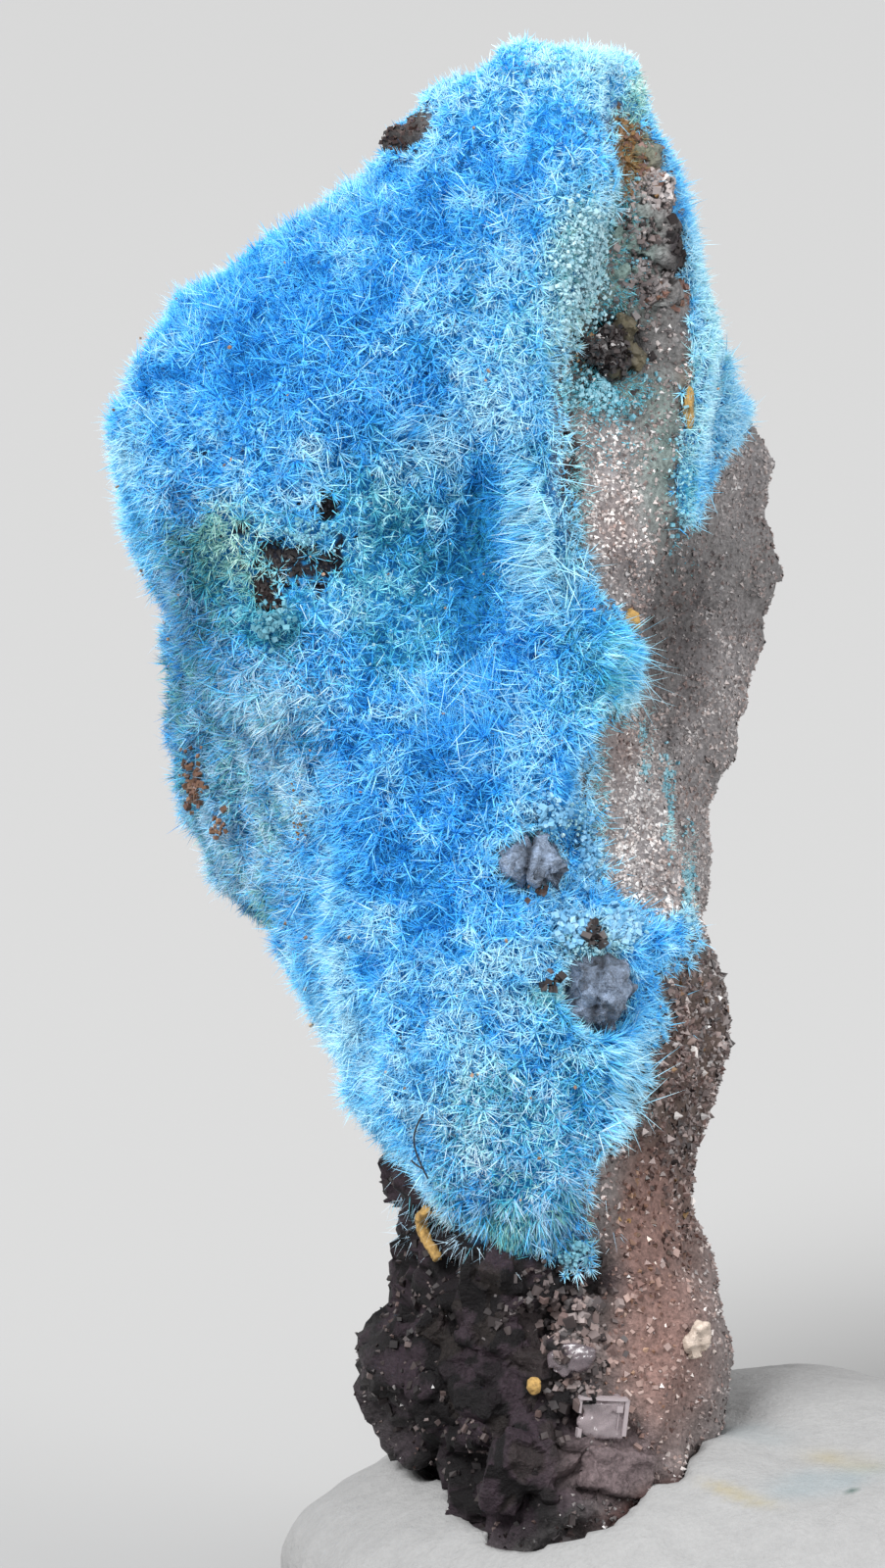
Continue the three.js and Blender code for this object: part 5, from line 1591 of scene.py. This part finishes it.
black_finish = speckled_finish("black crystal", 0.45, looks(18, 16, 20), {"border": looks(88, 82, 66)},
                               [(0.12, 0.6, 0)], specular=0.2)
body_piece = make_piece("black_crystal_body", points, faces, smooth=False)
add_number(body_piece, "border", border_share(points))
finish_piece(body_piece, black_finish, "black_crystals", "black_crystal_cluster")
BLACK_GRAINS = 460
weight = (points[:, 1] < points[:, 1].mean()) * (1.02 - border_share(points))
place, normal, _ = scatter((points, faces, normals), weight, BLACK_GRAINS, rng)
# A few grains are painted pale as glints
painted_glint = rng.random(BLACK_GRAINS) < 0.06
size = rng.uniform(0.03, 0.09, BLACK_GRAINS) * np.where(painted_glint, 0.6, 1.0)
pale = np.where(painted_glint, 0.8, rng.normal(0.05, 0.03, BLACK_GRAINS))
hue = rng.uniform(0.03, 0.15, BLACK_GRAINS)
finish_piece(chip_mesh("black_crystal_grains", place, normal, size, pale, hue, rng), grain_finish,
             "black_crystals")

# %% [markdown]
# ## Ochre
# The ochre bits are soft iron-stained crumbs: a curl, two grains and a fleck on the rim. Each is
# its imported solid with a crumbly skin. The fleck is drawn out along the rim.

# %% Ochre
ochre_finish = speckled_finish("ochre", 0.85, looks(182, 146, 84), {}, [(0.09, 0.4, 0.04)])
# Each ochre bit with its stretch along u, v and w
for name, stretch in (("ochre_curl", (1, 1, 1)), ("ochre_grain_foot", (1, 1, 1)),
                      ("ochre_grain_side", (1, 1, 1)), ("ochre_fleck_rim", (0.6, 1.9, 1))):
    points, faces, normals = fine_skin([name], cell=0.025, rounds=2)
    crumbs = 0.02 * lumps(points, 0.09, 13) + 0.015 * blocks(points, 0.07, 14)
    middle = points.mean(axis=0)
    stretched = ((points - middle) @ STONE_AXES.T * stretch) @ STONE_AXES + middle
    finish_piece(make_piece(name + "_crumbly", stretched + normals * crumbs[:, None], faces),
                 ochre_finish, "ochre", name)

# %% [markdown]
# ## Clear crystals
# A square plate and a flake of clear quartz lie low on the front, and a cream flake beside them.
# A fully clear plate would nearly vanish on the dark rock. The real one holds fine veils, so its
# finish is part clear, with quartz's refraction, and part pale.

# %% Clear crystals
QUARTZ_IOR = 1.54
clear_finish, _, _ = new_material("clear crystal", 0.12, looks(218, 202, 207), transmission=0.65,
                                  ior=QUARTZ_IOR)
flake_finish, _, _ = new_material("clear flake", 0.25, looks(168, 152, 160), transmission=0.7,
                                  ior=QUARTZ_IOR)
cream_finish = speckled_finish("cream crystal", 0.35, looks(205, 188, 174), {}, [(0.12, 0.25, 0.04)])
# Name, finish, slot and depth of the unevenness
for name, finish, slot, depth in (("clear_square_crystal", clear_finish, "clear_crystal", 0.02),
                                  ("clear_flake", flake_finish, "clear_crystal", 0.04),
                                  ("cream_flake", cream_finish, "cream_crystal", 0.04)):
    points, faces, normals = fine_skin([name], cell=0.03, rounds=1)
    uneven = depth * lumps(points, 0.14, 27) + depth * blocks(points, 0.2, 28)
    finish_piece(make_piece(name + "_uneven", points + normals * uneven[:, None], faces), finish,
                 slot, name)

# %% [markdown]
# The square plate grew faster at its edges, so it has a raised pale rim and fine growth lines.
# They are thin bars laid out along the plate's own edges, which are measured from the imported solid.

# %% The square crystal's rim and lines
def plate_axes(points):
    """Two edge directions and the facing direction of a flat square crystal."""
    _, _, axes = np.linalg.svd(points - points.mean(axis=0), full_matrices=False)
    facing_out = axes[2] if axes[2] @ STONE_AXES[2] < 0 else -axes[2]
    best = None
    for angle in np.radians(np.arange(0, 90, 3)):
        x = math.cos(angle) * axes[0] + math.sin(angle) * axes[1]
        y = np.cross(facing_out, x)
        area = np.ptp(points @ x) * np.ptp(points @ y)
        if best is None or area < best[0]:
            best = (area, x, y)
    return np.array([best[1], best[2], facing_out])


# Low and high ends along both edges and outwards, where the plate itself reaches from -1 to 1
BARS = [
    (-0.8, 0.9, -0.98, -0.82, 0.2, 1.3), (0.84, 0.98, -0.9, 1.02, 0.3, 1.4),
    (-1.0, -0.55, 0.8, 0.96, 0.2, 1.2), (0.2, 0.9, 0.9, 0.98, 0.3, 1.2),
    (0.62, 0.65, -0.8, 0.85, 0.8, 1.15), (-0.5, 0.84, -0.62, -0.6, 0.8, 1.15),
    (0.3, 0.6, -0.75, -0.5, 0.8, 1.3),
]
plate_points, _ = mesh_arrays(nodes["clear_square_crystal"])
axes = plate_axes(plate_points)
along = plate_points @ axes.T
middle, half = (along.max(axis=0) + along.min(axis=0)) / 2, np.ptp(along, axis=0) / 2
bar_points, bar_faces = [], []
for x0, x1, y0, y1, z0, z1 in BARS:
    low, high = np.array([x0, y0, z0]), np.array([x1, y1, z1])
    corner = middle + half * (low + (BOX_POINTS + 0.5) * (high - low))
    bar_faces.append(BOX_FACES + 8 * len(bar_points))
    bar_points.append(corner @ axes)
rim_finish, _, _ = new_material("clear crystal's rim", 0.2, looks(224, 211, 215), transmission=0.5,
                                ior=QUARTZ_IOR)
rim_piece = make_piece("square_crystal_rim", np.concatenate(bar_points), np.concatenate(bar_faces),
                       smooth=False)
finish_piece(rim_piece, rim_finish, "clear_crystal")
print(f"the square plate is {2 * half[0]:.2f} by {2 * half[1]:.2f} mm")

# %% [markdown]
# ## Dust fibre
# A black fibre, seen in two pieces, lies on the felt's lower left. A Blender curve with a round
# bevel could draw it. Here a few spots on the felt are joined by a smooth line, and a thin
# five-sided tube follows it.

# %% Dust fibre
def tube(name, line, radius, sides=5):
    """A thin tube along a line of points."""
    line = np.asarray(line, float)
    along = unit(np.gradient(line, axis=0))
    a, b = side_ways(along)
    angles = 2 * math.pi * np.arange(sides) / sides
    rings = line[:, None] + radius * (a[:, None] * np.cos(angles)[None, :, None]
                                      + b[:, None] * np.sin(angles)[None, :, None])
    faces = []
    for i in range(len(line) - 1):
        for k in range(sides):
            n = (k + 1) % sides
            p, q = i * sides, (i + 1) * sides
            faces += [(p + k, p + n, q + n), (p + k, q + n, q + k)]
    return make_piece(name, rings.reshape(-1, 3), np.array(faces))


def on_felt(u, v, lift):
    """Row-frame point above the felt where the viewer's line at u, v meets it."""
    return seen_at(skin_tree, u, v)[0] - lift * STONE_AXES[2]


def smooth_line(points, count=24):
    """A curve through a few points on the felt: u, v and lift."""
    points = np.asarray(points, float)
    spots = np.linspace(0, len(points) - 1, count)
    columns = []
    for axis in range(3):
        fit = np.polyfit(np.arange(len(points)), points[:, axis], min(3, len(points) - 1))
        columns.append(np.polyval(fit, spots))
    return np.array([on_felt(*row) for row in np.stack(columns, axis=1)])


FIBRE_RADIUS = 0.013
fibre_finish, _, _ = new_material("dust fibre", 0.6, looks(30, 36, 46))
fibres = {
    "dust_fibre_long": [(-2.85, 5.58, 0.1), (-2.96, 5.33, 0.2), (-2.94, 5.08, 0.2), (-2.79, 4.74, 0.12)],
    "dust_fibre_short": [(-3.0, 4.96, 0.12), (-2.92, 4.9, 0.16), (-2.84, 4.86, 0.1)],
}
for name, points in fibres.items():
    finish_piece(tube(name, smooth_line(points), FIBRE_RADIUS), fibre_finish, "cyanotrichite")

# %% [markdown]
# ## Specks
# Tiny ochre and brown specks lie about on the felt, and a few larger dark bits between the knobs.
# They are chips again, strewn on the felt's own skin by a table.

# %% Specks
# u, v, radii, how many, smallest and largest size, paleness, hue
SPECKS = [
    ("all over", -2.5, 11.0, 9.0, 12.0, 60, 0.02, 0.045, 0.5, 0.72),
    ("brown streak on the left face", -5.84, 9.65, 0.12, 0.35, 70, 0.03, 0.08, 0.25, 0.66),
    ("brown spot on the left face", -5.5, 9.1, 0.07, 0.13, 22, 0.03, 0.07, 0.32, 0.7),
    ("ridge", -4.42, 9.3, 0.1, 0.35, 26, 0.02, 0.04, 0.35, 0.88),
    ("dark bits between the knobs", -0.67, 7.87, 0.07, 0.12, 30, 0.04, 0.13, 0.1, 0.06),
    ("dark bit left of the lower knob", -1.27, 7.34, 0.06, 0.04, 12, 0.04, 0.11, 0.08, 0.06),
    ("dark bits below the upper knob", -1.4, 8.42, 0.12, 0.04, 12, 0.03, 0.08, 0.15, 0.3),
]
# Below the crown, and hardly any at the back
speck_ground = (skin_uvw[:, 1] < 18.2) * (skin_facing + 0.001)
parts = []
for place, normal, count, row in places_by_table(felt, skin_uvw, speck_ground, SPECKS, rng):
    small, large, speck_pale, speck_hue = row
    parts.append((place + 0.02 * normal, normal, rng.uniform(small, large, count),
                  speck_pale + rng.normal(0, 0.1, count), speck_hue + rng.normal(0, 0.05, count)))
finish_piece(chip_mesh("specks", *joined(parts), rng), chip_finish, "ochre")

# %% [markdown]
# ## The putty
# Grey mounting putty: matte, softly dented, dusted with specks and stained yellow and bluish, with
# one small green spot. Sculpting would do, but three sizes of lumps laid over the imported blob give
# the same kind of dents, and fade out towards the flat underside.

# %% The putty
points, faces, normals = fine_skin(["putty_mount"], cell=0.13, rounds=6)
kneading = 0.10 * lumps(points, 1.6, 14) + 0.035 * lumps(points, 0.6, 15)
kneading += 0.012 * lumps(points, 0.25, 16)
kneading *= np.clip((points[:, 2] - 0.15) / 0.6, 0, 1)
points = points + normals * kneading[:, None]
putty_piece = make_piece("putty", points, faces)
# x and y of the middle in the row frame, radii, turn
STAINS = {
    "yellow": [("right", 2.9, -2.3, 0.5, 0.3, 20, 0.6), ("front", 1.5, -3.4, 0.5, 0.12, 30, 0.8)],
    "bluish": [
        ("right", 2.6, -2.9, 0.9, 0.35, -30, 0.55), ("by the stone", 1.6, -1.6, 0.6, 0.4, 0, 0.3),
    ],
    "green": [("spot", 2.95, -3.2, 0.07, 0.07, 0, 0.9)],
}
for stain, table in STAINS.items():
    strength = np.clip(patch_strength(points, table), 0, 1) * (0.75 + 0.5 * lumps(points, 0.3, 17))
    add_number(putty_piece, stain, np.clip(strength, 0, 1))
STAIN_COLOURS = {
    "yellow": looks(164, 150, 104), "bluish": looks(128, 150, 158), "green": looks(50, 82, 74),
}
putty_finish = speckled_finish("putty", 0.85, looks(158, 158, 158), STAIN_COLOURS,
                               [(0.35, 0.05, 0.06), (0.06, 0.06, 0)])
finish_piece(putty_piece, putty_finish, "putty", "putty_mount")

# %% [markdown]
# ## Studio
# A wide pale table runs far behind the specimen. A light tent gives soft light from all sides. Here
# a bright plain sky stands for the tent, with a broad lamp from the upper left, in front, and a
# weaker one from the right that opens the shadows.

# %% Table and light
table_mesh = bpy.data.meshes.new("table")
TABLE_REACH = 3.0
corners = [(TABLE_REACH * x, TABLE_REACH * y, 0) for x, y in ((-1, -1), (1, -1), (1, 1), (-1, 1))]
table_mesh.from_pydata(corners, [], [(0, 1, 2, 3)])
table = bpy.data.objects.new("table", table_mesh)
bpy.context.scene.collection.objects.link(table)
table_finish, _, _ = new_material("table", 0.9, light(220, 220, 220, 2.14), specular=0.1)
table_mesh.materials.append(table_finish)
table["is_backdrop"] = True

world = bpy.data.worlds.new("studio")
bpy.context.scene.world = world
world.use_nodes = True
sky = world.node_tree.nodes["Background"]
sky.inputs["Color"].default_value = (1.0, 1.0, 1.0, 1.0)
sky.inputs["Strength"].default_value = 0.95


LAMPS_AIM = Vector((0, 0, 0.011))


def soft_lamp(name, place, size, power):
    """A square lamp that points at the specimen."""
    lamp = bpy.data.lights.new(name, "AREA")
    lamp.size = size
    lamp.energy = power
    holder = bpy.data.objects.new(name, lamp)
    holder.location = place
    holder.rotation_euler = (LAMPS_AIM - Vector(place)).to_track_quat("-Z", "Y").to_euler()
    bpy.context.scene.collection.objects.link(holder)


soft_lamp("upper left lamp", (-0.45, -0.52, 0.85), 0.45, 16)
soft_lamp("right fill", (0.9, -0.5, 0.5), 0.6, 8)
print("a sky, two soft lamps and a table")

# %% [markdown]
# ## Camera
# The viewer looks down on the stone by fifteen degrees from 15 cm, with a long lens. A shorter lens
# closer by would show more of the sides and make the foot look small.

# %% Camera
camera = bpy.data.cameras.new("camera")
camera.sensor_width = 36
camera.lens = 270
camera.clip_start = 0.01
holder = bpy.data.objects.new("camera", camera)
bpy.context.scene.collection.objects.link(holder)
looking_down = math.radians(15)
DISTANCE = 0.15
line = Vector((0, math.cos(looking_down), -math.sin(looking_down)))
target = Vector((-2.606 + STONE_ORIGIN[0], 2.003 + STONE_ORIGIN[1], 11.607)) * MM
holder.location = target - line * DISTANCE
holder.rotation_euler = line.to_track_quat("-Z", "Y").to_euler()
bpy.context.scene.camera = holder
bpy.context.scene.view_settings.view_transform = "Standard"
print(f"camera {DISTANCE * 100:.0f} cm away, {camera.lens:.0f} mm lens")

# %% Sizes and finish
low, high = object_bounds()
{"cad": [list(cad_low), list(cad_high)], "visual": [list(low), list(high)]}
print("visual model", [round((b - a) * 1000, 2) for a, b in zip(low, high)], "mm")
